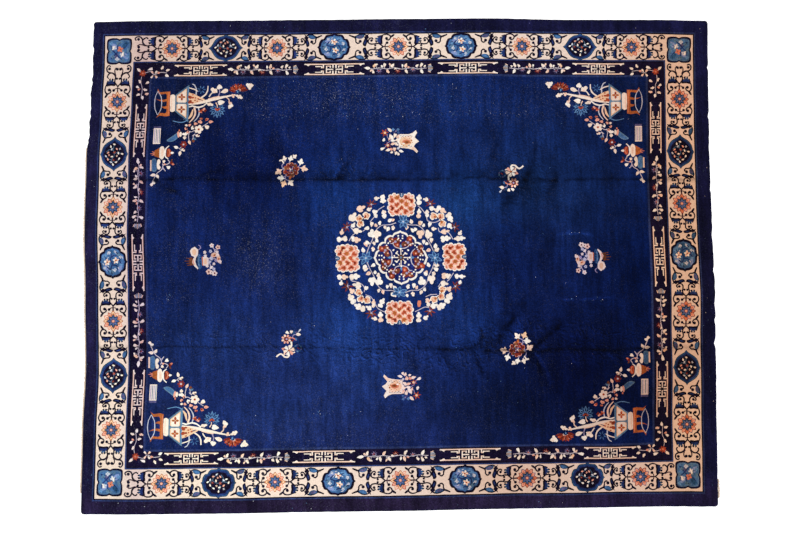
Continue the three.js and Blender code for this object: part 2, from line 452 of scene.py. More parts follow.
# a key-pattern block, lying along the line
def fret(pen, length):
    s = length / 304
    for side in (1, -1):
        for facing in (0, 180):
            quarter = pen.at(0, 0, facing, 1, side * (1 if facing else -1) > 0)
            bars = (
                ("blush", 0, 26, 150, 32), ("ivory", 4, 8, 11, 27), ("ivory", 5, -3, 42, 3),
                ("ivory", 37, 0, 43, 21), ("blush", 19, 16, 42, 21), ("ivory", 18, 9, 24, 20),
                ("ivory", 53, 7, 59, 27), ("blush", 53, 7, 67, 12), ("ivory", 62, 7, 68, 19),
                ("ivory", 63, 14, 97, 19))
            for dye, u0, v0, u1, v1 in bars:
                quarter.bar(dye, u0 * s, v0, u1 * s, v1)
            quarter.poly("ivory", (124 * s, 26), (132 * s, 18), (142 * s, 25), (153 * s, 27),
                         (150 * s, 33))
    pen.poly("ink", (-8, 0), (0, -9), (8, 0), (0, 9))


# a trailing flower spray, its leaf end at the start of the line
def spray(pen, length):
    n = length / 385

    def on(share, v):
        return (share * length, v)

    pen.line("stem", 3.2, on(0.02, 4), on(0.12, -2), on(0.22, 5), on(0.34, -3), on(0.45, 5), on(0.56, -4),
             on(0.68, 4), on(0.8, -4), on(0.93, 1))
    foliage = ((0.04, 4, 32, 16, 172, "cream"), (0.10, -10, 16, 10, 220, "blush"),
               (0.15, 17, 24, 15, 60, "peach"), (0.13, -16, 22, 13, -70, "ivory"),
               (0.18, 24, 16, 10, 20, "ivory"), (0.30, 18, 24, 15, 75, "ivory"),
               (0.26, 14, 16, 10, 130, "cream"), (0.35, -16, 24, 14, -50, "blush"),
               (0.42, 18, 26, 15, 50, "ivory"), (0.38, 24, 16, 10, 120, "blush"),
               (0.46, -2, 16, 10, 20, "ivory"), (0.57, 16, 16, 10, 100, "cream"),
               (0.62, 18, 26, 15, 70, "blush"), (0.63, -18, 26, 14, -55, "ivory"),
               (0.66, 8, 14, 9, 10, "pink"), (0.79, 16, 20, 12, 40, "ivory"),
               (0.85, 18, 26, 14, 60, "ivory"), (0.86, -18, 26, 15, -60, "cream"),
               (0.90, 12, 14, 9, 20, "ivory"))
    for share, v, long, wide, turn, dye in foliage:
        pen.line("stem", 2.8, on(share, 0), on(share, v * 0.6))
        leaf(pen, dye, *on(share, v), long * n, wide, turn)
    # flowers of thin strokes, and the tassel at the end
    for share, v, dye, heart in ((0.22, -10, "dusk", "rust"), (0.5, -10, "brick", "pink"),
                                 (0.73, -4, "dusk", "salmon")):
        x, y = on(share, v)
        pen.fan(dye, x, y, 22, -90, 220, 6, 0.2, 0.12)
        pen.fan("lilac" if dye == "dusk" else "rust", x, y, 18, -70, 170, 4, 0.14, 0.2)
        pen.fan(heart, x, y, 12, -110, 140, 3, 0.24, 0)
        pen.line("stem", 2.4, (x - 10, y + 6), (x, y + 9), (x + 11, y + 5))
    for k in range(7):
        v = -24 + 8 * k
        bow = 6 * math.cos(k - 3)
        pen.line("mist" if k % 3 else "blush", (3, 4.6, 3), on(0.955, 0.72 * v),
                 (0.985 * length, 0.86 * v), (length + 4 + bow, v))


# the flowers that turn each corner of the fret border, drawn for the far left one
def cornerSpray(pen):
    pen.lines("stem", 3,
              (((-1490, 1095), (-1465, 1075), (-1425, 1085), (-1402, 1068), (-1366, 1080), (-1330, 1076)),
               ((-1465, 1075), (-1474, 1030), (-1462, 990), (-1466, 945))))
    pen.fan("rust", -1465, 1075, 22, 30, 360, 8, 0.42, 0)
    pen.dot("salmon", -1465, 1075, 6)
    leaves(pen, (
            (-1490, 1096, 24, 14, 140, "ivory"), (-1425, 1098, 28, 14, 20, "cream"),
            (-1412, 1080, 20, 11, 130, "blush"), (-1392, 1080, 20, 11, 50, "ivory"),
            (-1412, 1056, 20, 11, 230, "ivory"), (-1391, 1056, 20, 11, -50, "blush"),
            (-1376, 1078, 16, 12, 10, "pink"), (-1358, 1106, 22, 13, 60, "ivory"),
            (-1326, 1093, 22, 13, 20, "ivory"), (-1329, 1060, 22, 14, -30, "cream"),
            (-1478, 1028, 22, 13, 120, "ivory"), (-1437, 1020, 22, 13, 30, "ivory"),
            (-1488, 996, 20, 12, 150, "cream"), (-1480, 984, 16, 11, 200, "pink"),
            (-1446, 980, 22, 13, -20, "ivory"), (-1484, 953, 22, 13, 200, "ivory"),
            (-1460, 934, 22, 14, -80, "cream"), (-1435, 956, 22, 13, 10, "blush")))


def fretBorder(pen):
    left, right, near, far = ((a + b) / 2 for a, b in zip(borders["frets"], borders["guard"]))
    for name, turn, flip, line in (("far", 0, False, far), ("near", 0, True, near),
                                   ("left", 90, False, left), ("right", 90, True, right)):
        for place, length in borders[name + "Frets"]:
            spot = (place, line) if turn == 0 else (line, place)
            fret(pen.at(*spot, turn), length)
        for start, end in borders[name + "Sprays"]:
            spot = (start, line) if turn == 0 else (line, start)
            spray(pen.at(*spot, turn + (0 if end > start else 180), 1, flip != (end < start)),
                  abs(end - start))
    for x, y, turn, flip in ((0, 0, 0, False), (-16, 0, 180, True), (0, 12, 0, True),
                             (-16, 12, 180, False)):
        cornerSpray(pen.at(x, y, turn, 1, flip))


# a leaf of three points
def ivyLeaf(pen, x, y, size, turn=0, dye="ivory"):
    own = pen.at(x, y, turn, size / 33)
    own.poly(dye, (-20, -1), (-9, -6), (-8, -14), (3, -21), (6, -10), (16, -10), (26, 0), (15, 8), (6, 9),
             (4, 21), (-8, 13), (-9, 6), (-20, 1))
    own.line(leafShades.get(dye, "blush"), (4, 2), (-10, 0), (9, 0))


# motifs of the open field, each woven twice, the second a half turn from the first
fieldMotifs = {
    "vase": ((-3, 675), (-12, -700)), "peony": ((-614, 517), (635, -500)),
    "flowerStem": ((616, 460), (-629, -456)), "censer": ((-1076, 17), (1044, 9)),
}


def vase(pen):
    for x, y, r, turn in ((-89, 47, 24, 10), (-70, -24, 21, 40)):
        pen.fan("rust", x, y, r, turn, 360, 6, 0.34, 0.1)
        pen.dot("peach", x + 2, y, 7)
    for x, y, r, dye in ((-42, 65, 9, "sky"), (-14, 66, 8, "sky"), (-12, 50, 8, "blue"),
                         (-34, 48, 7, "dusk"), (-25, 57, 5, "lilac")):
        pen.blossom(x, y, r, dye, "dusk", 4)
    pen.line("lilac", 3, (-88, -40), (-70, -10), (-52, 4), (-72, 20), (-74, 40))
    leaves(pen, (
            (-62, 64, 30, 15, 140, "ivory"), (-92, 7, 20, 15, 70, "cream"),
            (-55, 28, 26, 15, 110, "ivory"), (-60, 12, 22, 13, 60, "blush"),
            (-97, -42, 26, 14, 205, "cream"), (-69, -51, 26, 15, 15, "ivory"),
            (-50, -46, 20, 14, 160, "pink"), (-30, -48, 22, 18, 90, "blush"),
            (-47, -64, 16, 12, 200, "ivory"), (-22, -68, 20, 14, 250, "ivory"),
            (-8, -40, 18, 13, 40, "mist"), (8, -58, 26, 14, -15, "cream"),
            (-9, -72, 18, 13, -70, "ivory")))
    leaves(pen, (
            (-46, 22, 28, 16, 110, "cream"), (-30, 30, 26, 17, 80, "ivory"),
            (-13, 26, 22, 15, 60, "blush"), (-38, 3, 26, 15, 170, "cream"), (-17, 6, 24, 17, 20, "ivory"),
            (-42, -16, 24, 14, 200, "blush"), (-21, -17, 26, 15, -40, "ivory"),
            (-9, -5, 16, 13, 0, "cream")))
    body = ((-6, -38), (-9, 0), (-5, 39), (23, 38), (48, 39), (70, 47), (87, 62), (95, 48), (81, 21),
            (94, 10), (107, -3), (88, -15), (77, -30), (88, -43), (101, -58), (95, -69), (74, -50),
            (48, -43), (18, -41))
    pen.poly("ivory", *body)
    pen.poly("cream", (70, 43), (87, 58), (90, 46), (76, 22), (66, 30))
    pen.poly("blush", (76, -30), (60, -40), (92, -64), (97, -56))
    for dye, x, y, w, h in (("peach", 32, -2, 70, 54), ("blush", 46, 24, 26, 16),
                            ("peach", 30, -33, 40, 10), ("salmon", 35, -4, 46, 27),
                            ("tan", 37, -6, 32, 17), ("brown", 39, -6, 18, 9), ("tan", 64, 4, 9, 9),
                            ("tan", 58, -10, 8, 7), ("cream", 20, -14, 16, 8), ("tan", 26, 16, 6, 5)):
        pen.oval(dye, x, y, w, h)
    for k in range(8):
        pen.dot("brown" if k % 2 else "slate", 2 + 9 * k, 31 - 3 * (k % 2), 3.3)
        pen.dot("slate" if k % 2 else "brown", 2 + 9 * k, -34 + 4 * (k % 3), 3.3)
    for x, y in ((6, 20), (8, -20), (54, 14), (52, -24), (16, 24), (70, -8), (62, 18)):
        pen.oval("tan" if x % 4 else "brown", x, y, 7, 5, 9 * x)


def peony(pen):
    pen.lines("lilac", 4.4,
              (((-40, 44), (-52, 24), (-44, 4), (-30, -20), (-34, -52)), ((-60, -4), (-48, 6)),
               ((-36, -34), (-48, -44)), ((-33, -50), (-12, -62)), ((38, 16), (52, 30)),
               ((40, 14), (60, 10)), ((-36, 46), (-36, 60)), ((-12, 40), (-2, 58), (14, 70))))
    pen.line("ivory", (8, 6), (-66, 54), (-52, 56), (-40, 38))
    # ruffled petals, each with its pale edge
    for i, (x, y, size, turn) in enumerate((
            (2, 36, 1.0, 96), (25, 30, 0.9, 40), (38, 8, 1.0, 6), (32, -18, 0.95, -38),
            (8, -34, 1.05, -80), (-18, -32, 0.9, -128), (-37, -12, 1.0, 190), (-35, 14, 0.95, 150),
            (-18, 31, 0.9, 118), (15, 12, 0.8, 60), (-13, 10, 0.8, 160), (5, -14, 0.85, -70),
            (-14, -14, 0.6, 220), (20, -6, 0.6, -20))):
        petal = pen.at(0.9 * x, 0.9 * y, turn, 0.84 * size)
        petal.shape(("brick", "brown", "brick")[i % 3], (-16, 0), (-9, 12), (5, 14), (14, 6), (11, 0),
                    (14, -6), (5, -14), (-9, -12))
        petal.line(("pink", "lilac", "salmon", "blush")[i % 4], (3, 5.4, 3), (0, 12), (9, 9), (12, 1))
        petal.line(("salmon", "rust", "pink")[i % 3], (3, 5, 3), (12, -1), (9, -9), (0, -12))
    pen.dot("brick", 0, 2, 8)
    for x, y, r, dye in ((-3, 3, 5, "mist"), (7, 7, 4, "lilac"), (-9, 9, 4, "pink"), (6, -5, 4, "slate"),
                         (-6, -6, 4, "lilac")):
        pen.dot(dye, x, y, r)
    pen.bud("tan", -6, -46, 22, 14, -100)
    for x, y, size, turn, dye in (
            (-37, 64, 26, 110, "ivory"), (-3, 64, 28, 75, "cream"), (19, 76, 24, 40, "ivory"),
            (54, 44, 32, 75, "cream"), (71, 8, 36, -15, "blush"), (-68, -7, 36, 215, "blush"),
            (-54, -46, 34, 175, "cream"), (-40, -75, 33, 250, "peach"), (-3, -71, 33, -50, "ivory")):
        ivyLeaf(pen, x, y, 0.92 * size, turn, dye)


def flowerStem(pen):
    pen.line("ivory", (9, 9, 8), (4, 60), (12, 72), (30, 71), (48, 55), (62, 58), (76, 70))
    for k in range(9):
        a = math.radians(40 * k)
        pen.oval(("teal", "dusk", "slate")[k % 3], -44 + 18 * math.cos(a), 24 + 18 * math.sin(a), 13, 7,
                 40 * k + 70)
    pen.line("brick", (4, 6), (-52, 30), (-40, 20))
    pen.line("ivory", 9, (-4, 20), (-9, 6), (-7, -12))
    # two open flowers
    for k, dye in enumerate(("ivory", "cream", "pink", "blush", "ivory", "cream")):
        a = 60 * k + 15
        way = heading(a)
        pen.at(6 + 19 * way.real, 36 + 17 * way.imag, a).shape(
                dye, (-13, 0), (-6, 9), (6, 10), (13, 5), (10, 0), (13, -5), (6, -10), (-6, -9))
    leaves(pen,
           ((36, 28, 22, 15, -20, "pink"), (28, 52, 22, 15, 40, "blush"),
            (-20, 44, 16, 11, 130, "ivory")))
    for k in range(6):
        a = math.radians(60 * k + 45)
        pen.line("midnight", (2, 4, 6), (6 + 4 * math.cos(a), 36 + 4 * math.sin(a)),
                 (6 + 31 * math.cos(a), 36 + 28 * math.sin(a)), step=16)
    pen.dot("tan", 6, 36, 6)
    pen.dot("brown", 8, 35, 3)
    for k in range(8):
        a = math.radians(45 * k + 20)
        pen.oval("pink" if k % 3 else "blush", 20 + 20 * math.cos(a), -27 + 19 * math.sin(a), 17, 12,
                 45 * k + 20)
    pen.dot("brick", 20, -27, 13)
    pen.dot("lilac", 19, -27, 5.5)
    pen.line("salmon", 6, (-36, -20), (-14, -34), (4, -30))
    pen.line("lilac", 4, (-46, -54), (-20, -50), (-14, -32))
    leaves(pen, (
            (-48, -52, 26, 17, 170, "ivory"), (-52, -72, 24, 9, 230, "mist"),
            (-8, -66, 18, 16, 260, "ivory"), (12, -63, 22, 14, -30, "cream"),
            (-34, -26, 16, 11, 110, "blue"), (-22, -62, 18, 10, 250, "teal"),
            (-12, -18, 14, 10, 150, "brick"), (-34, -64, 14, 10, 240, "dusk")))


def censer(pen):
    for v, long in ((14, 34), (-2, 44), (-16, 34), (-28, 30)):
        pen.line("brown", (8, 4), (-82, v * 0.7 - 4), (-86 - long, v - 4))
    pen.shape("brown", (-82, 10), (-84, -28), (-100, -26), (-104, -6), (-100, 12))
    pen.poly("ivory", (-58, 34), (-70, 22), (-84, 2), (-88, -14), (-76, -36), (-58, -52), (-54, -46),
             (-66, -28), (-70, -8), (-66, 10), (-54, 28))
    pen.poly("pink", (-84, 0), (-80, 4), (-74, -26), (-78, -30), (-86, -14))
    pen.shape("teal", (-58, 22), (-64, 0), (-62, -26), (-52, -50), (-38, -44), (-34, -6), (-38, 22),
              (-50, 34))
    pen.line("slate", (4, 6, 4), (-46, 28), (-54, 0), (-52, -26), (-46, -42))
    for k in range(5):
        pen.oval("ink" if k % 2 else "deepBlue", -44 + 3 * (k % 2), 20 - 14 * k, 9, 7, 30 * k)
    pen.line("ink", 4, (-62, 16), (-60, -30))
    pen.poly("salmon", (-34, 16), (-34, -28), (-26, -34), (-24, 18))
    pen.poly("ivory", (-27, 16), (-28, -30), (-10, -34), (2, -28), (4, 10), (-10, 18))
    pen.bar("peach", -22, -24, -8, 8)
    pen.poly("ivory", (-98, 50), (-90, 24), (-68, 14), (-54, 28), (-52, 56), (-70, 74), (-88, 64))
    pen.oval("peach", -74, 44, 24, 36)
    pen.line("lilac", (3, 6, 4), (-50, 56), (-38, 66), (-42, 78), (-50, 82))
    pen.lines("stem", 4,
              (((0, 0), (20, 20), (40, 50), (24, 78)), ((40, 50), (58, 70)),
               ((0, -8), (14, -34), (4, -62)), ((10, 2), (40, 6), (54, -10))))
    for x, y, r, dye, heart in (
            (24, 80, 12, "cream", "pink"), (58, 70, 13, "blush", "brick"), (-16, 42, 9, "ivory", "mist"),
            (-14, 22, 9, "cream", "mist"), (16, 48, 9, "mist", "slate"), (52, 44, 9, "ivory", "mist"),
            (2, -66, 15, "blush", "brick"), (18, -70, 11, "ivory", "brown"),
            (34, -74, 15, "ivory", "brick"), (30, -50, 9, "mist", "lilac"), (32, -22, 8, "ivory", "mist"),
            (-6, -34, 8, "ivory", "mist")):
        pen.blossom(x, y, r * 1.05, dye, heart, 5, 13 * x)
        pen.dot(heart, x, y, 0.34 * r)
    leaves(pen, (
            (38, 28, 40, 24, 20, "peach"), (60, 10, 20, 48, 0, "peach"), (54, 26, 20, 18, 60, "ivory"),
            (66, -10, 18, 24, 30, "ivory"), (20, 6, 20, 18, 100, "mist"), (18, -40, 20, 14, 40, "cream"),
            (10, -12, 16, 14, 60, "mist"), (44, -6, 18, 12, 130, "lilac")))
    pen.oval("tan", 38, 26, 16, 9, 20)
    pen.oval("tan", 61, 4, 8, 16)


# what stands in each corner of the field, drawn for the near left one
# book, urn and pot along the short side
def bookAndPots(pen):
    pen.bar("dusk", -1400, -771, -1360, -755)
    pen.bar("ivory", -1400, -759, -1361, -671)
    for x in (-1394, -1385, -1376, -1367):
        pen.line("slate" if x % 2 else "lilac", 4.4, (x, -754), (x + 1, -677), step=20)
    pen.poly("tan", (-1356, -590), (-1356, -648), (-1366, -646), (-1388, -634), (-1394, -618),
             (-1388, -602), (-1366, -594))
    for y, long in ((-606, 1404), (-616, 1412), (-628, 1402)):
        pen.line("salmon", (6, 3), (-1388, y * 0.4 - 370), (-long, y))
    pen.shape("ivory", (-1362, -620), (-1360, -594), (-1346, -583), (-1334, -600), (-1332, -620),
              (-1334, -645), (-1346, -658), (-1360, -648))
    pen.shape("blush", (-1352, -620), (-1350, -600), (-1342, -600), (-1340, -640), (-1350, -642), step=8)
    pen.line("cream", (5, 8, 5), (-1312, -586), (-1328, -600), (-1330, -622), (-1326, -644),
             (-1310, -660))
    pen.poly("rust", (-1322, -598), (-1308, -596), (-1296, -610), (-1293, -620), (-1297, -632),
             (-1308, -644), (-1322, -642))
    pen.line("salmon", 5, (-1312, -600), (-1304, -620), (-1312, -640))
    pen.bud("cream", -1290, -620, 20, 14, 0)
    pen.shape("slate", (-1404, -550), (-1402, -522), (-1390, -514), (-1376, -522), (-1374, -552),
              (-1378, -582), (-1390, -590), (-1402, -582))
    pen.shape("blue", (-1398, -552), (-1396, -526), (-1380, -526), (-1379, -578), (-1396, -578), step=9)
    pen.bar("blush", -1412, -580, -1404, -520)
    pen.shape("ivory", (-1374, -540), (-1368, -528), (-1358, -528), (-1353, -540), (-1362, -554),
              (-1354, -568), (-1358, -582), (-1368, -584), (-1373, -570), step=5)


# twigs above the pot
def potTwigs(pen):
    pen.lines("stem", 4,
              (((-1400, -455), (-1390, -475), (-1384, -492), (-1368, -512), (-1350, -524), (-1340, -545),
                (-1344, -560)),
               ((-1340, -540), (-1332, -525), (-1326, -518)),
               ((-1340, -552), (-1318, -556), (-1304, -566), (-1314, -582)),
               ((-1388, -490), (-1372, -488))))
    leaves(pen, (
            (-1400, -444, 24, 15, 140, "ivory"), (-1392, -452, 18, 15, 10, "cream"),
            (-1398, -496, 28, 16, 170, "ivory"), (-1370, -487, 24, 15, 60, "ivory"),
            (-1312, -540, 22, 17, 30, "cream"), (-1336, -572, 16, 15, -50, "ivory"),
            (-1290, -562, 24, 16, 30, "brick"), (-1284, -556, 14, 10, 20, "salmon"),
            (-1330, -556, 14, 10, 20, "pink"), (-1292, -578, 14, 9, -60, "brown"),
            (-1340, -532, 12, 9, 80, "lilac")))


# flowers climbing to the pouch
def climbers(pen):
    pen.lines("stem", 3.4,
              (((-1270, -652), (-1250, -645), (-1240, -630)), ((-1250, -645), (-1236, -660)),
               ((-1200, -690), (-1205, -720), (-1200, -745)),
               ((-1182, -690), (-1176, -720), (-1168, -730)),
               ((-1215, -745), (-1190, -740), (-1170, -750)),
               ((-1150, -750), (-1128, -772), (-1100, -790)),
               ((-1160, -722), (-1176, -724), (-1184, -716))))
    starFlower(pen, -1230, -668, 21, 20, "rust", "mist")
    for k in range(6):
        pen.dot("brick", -1230 + 15 * math.cos(k * 1.05), -668 + 15 * math.sin(k * 1.05), 6)
    for x, y, long, wide, turn, dye in (
            (-1248, -616, 28, 17, 100, "ivory"), (-1230, -638, 24, 18, 30, "ivory"),
            (-1272, -652, 26, 17, 200, "cream"), (-1196, -679, 26, 16, 60, "blush"),
            (-1178, -690, 20, 16, 40, "brown"), (-1168, -700, 20, 12, 30, "slate"),
            (-1154, -719, 24, 17, 10, "ivory"), (-1226, -706, 20, 20, 90, "ivory"),
            (-1224, -728, 34, 20, 170, "cream"), (-1212, -738, 18, 16, -40, "ivory"),
            (-1222, -758, 18, 16, 200, "ivory"), (-1222, -778, 16, 13, 200, "ivory"),
            (-1203, -779, 17, 15, -40, "pink"), (-1185, -764, 18, 24, 0, "cream"),
            (-1168, -786, 22, 17, 180, "ivory"), (-1145, -797, 26, 20, 20, "ivory"),
            (-1140, -815, 18, 10, 10, "salmon"), (-1106, -768, 28, 22, 30, "ivory"),
            (-1084, -796, 26, 17, 0, "ivory"), (-1106, -811, 20, 16, -20, "salmon"),
            (-1112, -806, 12, 9, 100, "rust")):
        leaf(pen, "pink" if dye == "ivory" and long % 4 == 2 else dye, x, y, 0.94 * long, 0.9 * wide,
             turn)
        if long % 3 == 0:
            pen.dot("brick", x + 4, y - 3, 4)
    pen.blossom(-1150, -754, 25, "ivory", "rust", 5, 70)
    pen.shape("slate", (-1326, -690), (-1308, -682), (-1284, -688), (-1262, -708), (-1256, -726),
              (-1264, -737), (-1286, -722), (-1310, -704))
    pen.shape("blue", (-1318, -690), (-1304, -686), (-1284, -693), (-1266, -712), (-1264, -728),
              (-1286, -715), (-1306, -700), step=9)
    pen.oval("pink", -1262, -725, 14, 36, -8)
    pen.oval("salmon", -1258, -748, 8, 12)
    pen.oval("ivory", -1250, -726, 14, 30)


# planter on its stand
def planter(pen):
    pen.poly("tan", (-1316, -833), (-1336, -828), (-1372, -833), (-1390, -820), (-1380, -836),
             (-1372, -848), (-1340, -845), (-1334, -856), (-1334, -872), (-1346, -872), (-1366, -884),
             (-1346, -884), (-1334, -888), (-1334, -914), (-1352, -911), (-1374, -916), (-1398, -928),
             (-1376, -922), (-1352, -923), (-1334, -928), (-1334, -952), (-1342, -957), (-1374, -952),
             (-1388, -968), (-1386, -986), (-1374, -966), (-1338, -968), (-1316, -970))
    pen.line("salmon", 4, (-1322, -840), (-1323, -965), step=30)
    for bow in (-1, 1):
        pen.line("mist", (3, 4.5, 3), (-1384, -836), (-1382 + 16 * bow, -868), (-1382 + 20 * bow, -904),
                 (-1382 + 16 * bow, -940), (-1385, -972))
    pen.shape("ivory", (-1316, -900), (-1314, -858), (-1301, -853), (-1288, -860), (-1286, -902),
              (-1288, -946), (-1302, -953), (-1314, -948), step=10)
    pen.line("blush", 5, (-1306, -862), (-1307, -944), step=30)
    pen.poly("slate", (-1287, -856), (-1222, -806), (-1212, -796), (-1210, -904), (-1212, -1008),
             (-1222, -1002), (-1287, -950))
    pen.line("sky", (6, 3), (-1216, -806), (-1250, -794), (-1298, -803))
    pen.poly("peach", (-1279, -896), (-1279, -861), (-1224, -818), (-1224, -896))
    pen.poly("peach", (-1279, -912), (-1224, -912), (-1224, -989), (-1279, -947))
    pen.poly("ivory", (-1273, -900), (-1273, -864), (-1229, -829), (-1229, -900))
    pen.poly("ivory", (-1273, -908), (-1229, -908), (-1229, -979), (-1273, -944))
    pen.line("sky", 3, (-1216, -812), (-1216, -996), step=40)
    for y in (-868, -939):
        for k in range(4):
            pen.oval("rust" if k % 2 else "tan", -1251 + 11 * math.cos(k * 1.571),
                     y + 11 * math.sin(k * 1.571), 19, 13, 90 * k)
        pen.dot("peach", -1251, y, 3)


# trunk with its twigs
def trunk(pen):
    for path, width, dye in (
            (((-1182, -880), (-1174, -850), (-1184, -818), (-1206, -794)), (11, 9, 5), "blush"),
            (((-1160, -884), (-1152, -850), (-1160, -822), (-1180, -798)), (6, 6, 4), "mist"),
            (((-1212, -814), (-1196, -836), (-1188, -868)), (5, 14, 6), "peach"),
            (((-1172, -952), (-1172, -984), (-1182, -1006), (-1196, -1014)), (7, 6, 4), "mist"),
            (((-1212, -992), (-1184, -984), (-1160, -970)), (5, 6, 4), "ivory"),
            (((-1150, -930), (-1120, -952), (-1108, -976), (-1107, -1002)), (8, 8, 6), "ivory"),
            (((-1062, -905), (-1054, -892), (-1052, -876)), (7, 4), "blush"),
            (((-1004, -938), (-988, -924), (-984, -908)), (6, 5), "blush"),
            (((-1050, -936), (-1040, -962), (-1042, -984)), (6, 4), "lilac"),
            (((-1100, -938), (-1088, -956), (-1074, -968)), (7, 5), "ivory"),
            (((-1212, -882), (-1190, -888), (-1160, -880), (-1130, -888), (-1110, -905)), (6, 8, 8, 6),
             "cream")):
        pen.line(dye, width, *path)
    for dye, widths, path in (
            ("ivory", (17, 15, 14, 17, 13, 15, 11, 8, 6),
             ((-1213, -902), (-1178, -903), (-1150, -906), (-1120, -913), (-1090, -920), (-1062, -926),
              (-1030, -934), (-990, -942), (-950, -950))),
            ("peach", (15, 12, 11, 8), ((-1213, -958), (-1184, -950), (-1158, -936), (-1124, -920))),
            ("blush", (10, 8, 7), ((-1213, -930), (-1186, -926), (-1160, -920), (-1134, -914))),
            ("blush", (5, 8, 6), ((-1106, -926), (-1072, -934), (-1040, -940)))):
        pen.line(dye, widths, *path)
    pen.poly("peach", (-1211, -900), (-1180, -902), (-1150, -912), (-1160, -936), (-1190, -954),
             (-1211, -960))
    for x, y, long, wide, turn in ((-1206, -912, 26, 18, -40), (-1192, -906, 18, 10, 0),
                                   (-1206, -938, 24, 18, 20), (-1190, -936, 14, 12, 0),
                                   (-1178, -920, 9, 9, 0), (-1176, -934, 10, 8, 0),
                                   (-1160, -928, 12, 9, 30), (-1166, -915, 8, 7, 0),
                                   (-1190, -952, 12, 8, 0)):
        pen.oval("rust", x, y, long, wide, turn)
    for k in range(7):
        a = math.radians(200 + 52 * k)
        pen.oval("blue", -1143 + 16 * math.cos(a), -980 + 16 * math.sin(a), 17, 6, 200 + 52 * k)
    leaves(pen,
           ((-1146, -853, 24, 10, 30, "salmon"), (-1138, -862, 26, 12, -30, "rust"),
            (-1126, -868, 18, 14, -60, "pink"), (-1120, -860, 18, 14, -40, "brick")))


# blue lotus
def blueLotus(pen):
    for k in range(11):
        a = -38 + 256 * k / 10
        way = heading(a)
        reach = 44 + 5 * math.sin(math.radians(a))
        pen.bud("sky" if k % 2 else "blue", -1051 + 0.62 * reach * way.real,
                -866 + 0.62 * reach * way.imag, 0.8 * reach, 15, a)
        pen.bud("field", -1051 + 0.62 * reach * way.real, -866 + 0.62 * reach * way.imag, 0.56 * reach, 7,
                a)
    for k in range(5):
        pen.oval("rust", -1051 + 11 * math.cos(0.3 + 0.65 * k), -872 + 9 * math.sin(0.3 + 0.65 * k), 12,
                 8, 17 + 37 * k)


# red fan flower at the tip
def fanFlower(pen):
    for k in range(9):
        a = math.radians(188 + 20.5 * k)
        pen.oval("rust" if k % 2 else "brick", -936 + 32 * math.cos(a), -972 + 24 * math.sin(a), 36, 15,
                 188 + 20.5 * k)
        pen.line("pink" if k % 2 else "cream", (2, 4.4, 3),
                 *[(-936 + r * math.cos(a + 0.17), -972 + 0.76 * r * math.sin(a + 0.17))
                   for r in (9, 24, 40)])
    pen.oval("brick", -968, -972, 40, 14, 20)
    pen.oval("brick", -902, -976, 42, 14, -10)
    pen.bud("sky", -938, -966, 16, 9, 80)
    leaves(pen, (
            (-1094, -896, 36, 18, 10, "ivory"), (-1030, -906, 38, 26, 170, "cream"),
            (-982, -880, 24, 20, 110, "ivory"), (-974, -890, 22, 20, 10, "cream"),
            (-982, -903, 22, 16, 40, "blush"), (-964, -944, 22, 18, 60, "blush"),
            (-926, -938, 32, 22, 20, "ivory"), (-944, -945, 18, 12, 10, "ivory"),
            (-1072, -974, 42, 28, 210, "ivory"), (-1042, -996, 26, 30, 80, "cream"),
            (-1014, -970, 42, 22, 160, "ivory"), (-880, -1004, 26, 22, 200, "cream"),
            (-872, -992, 26, 20, 70, "ivory"), (-862, -1003, 24, 22, -10, "ivory")))


def spandrel(pen):
    for draw in (bookAndPots, potTwigs, climbers, planter, trunk, blueLotus, fanFlower):
        draw(pen)


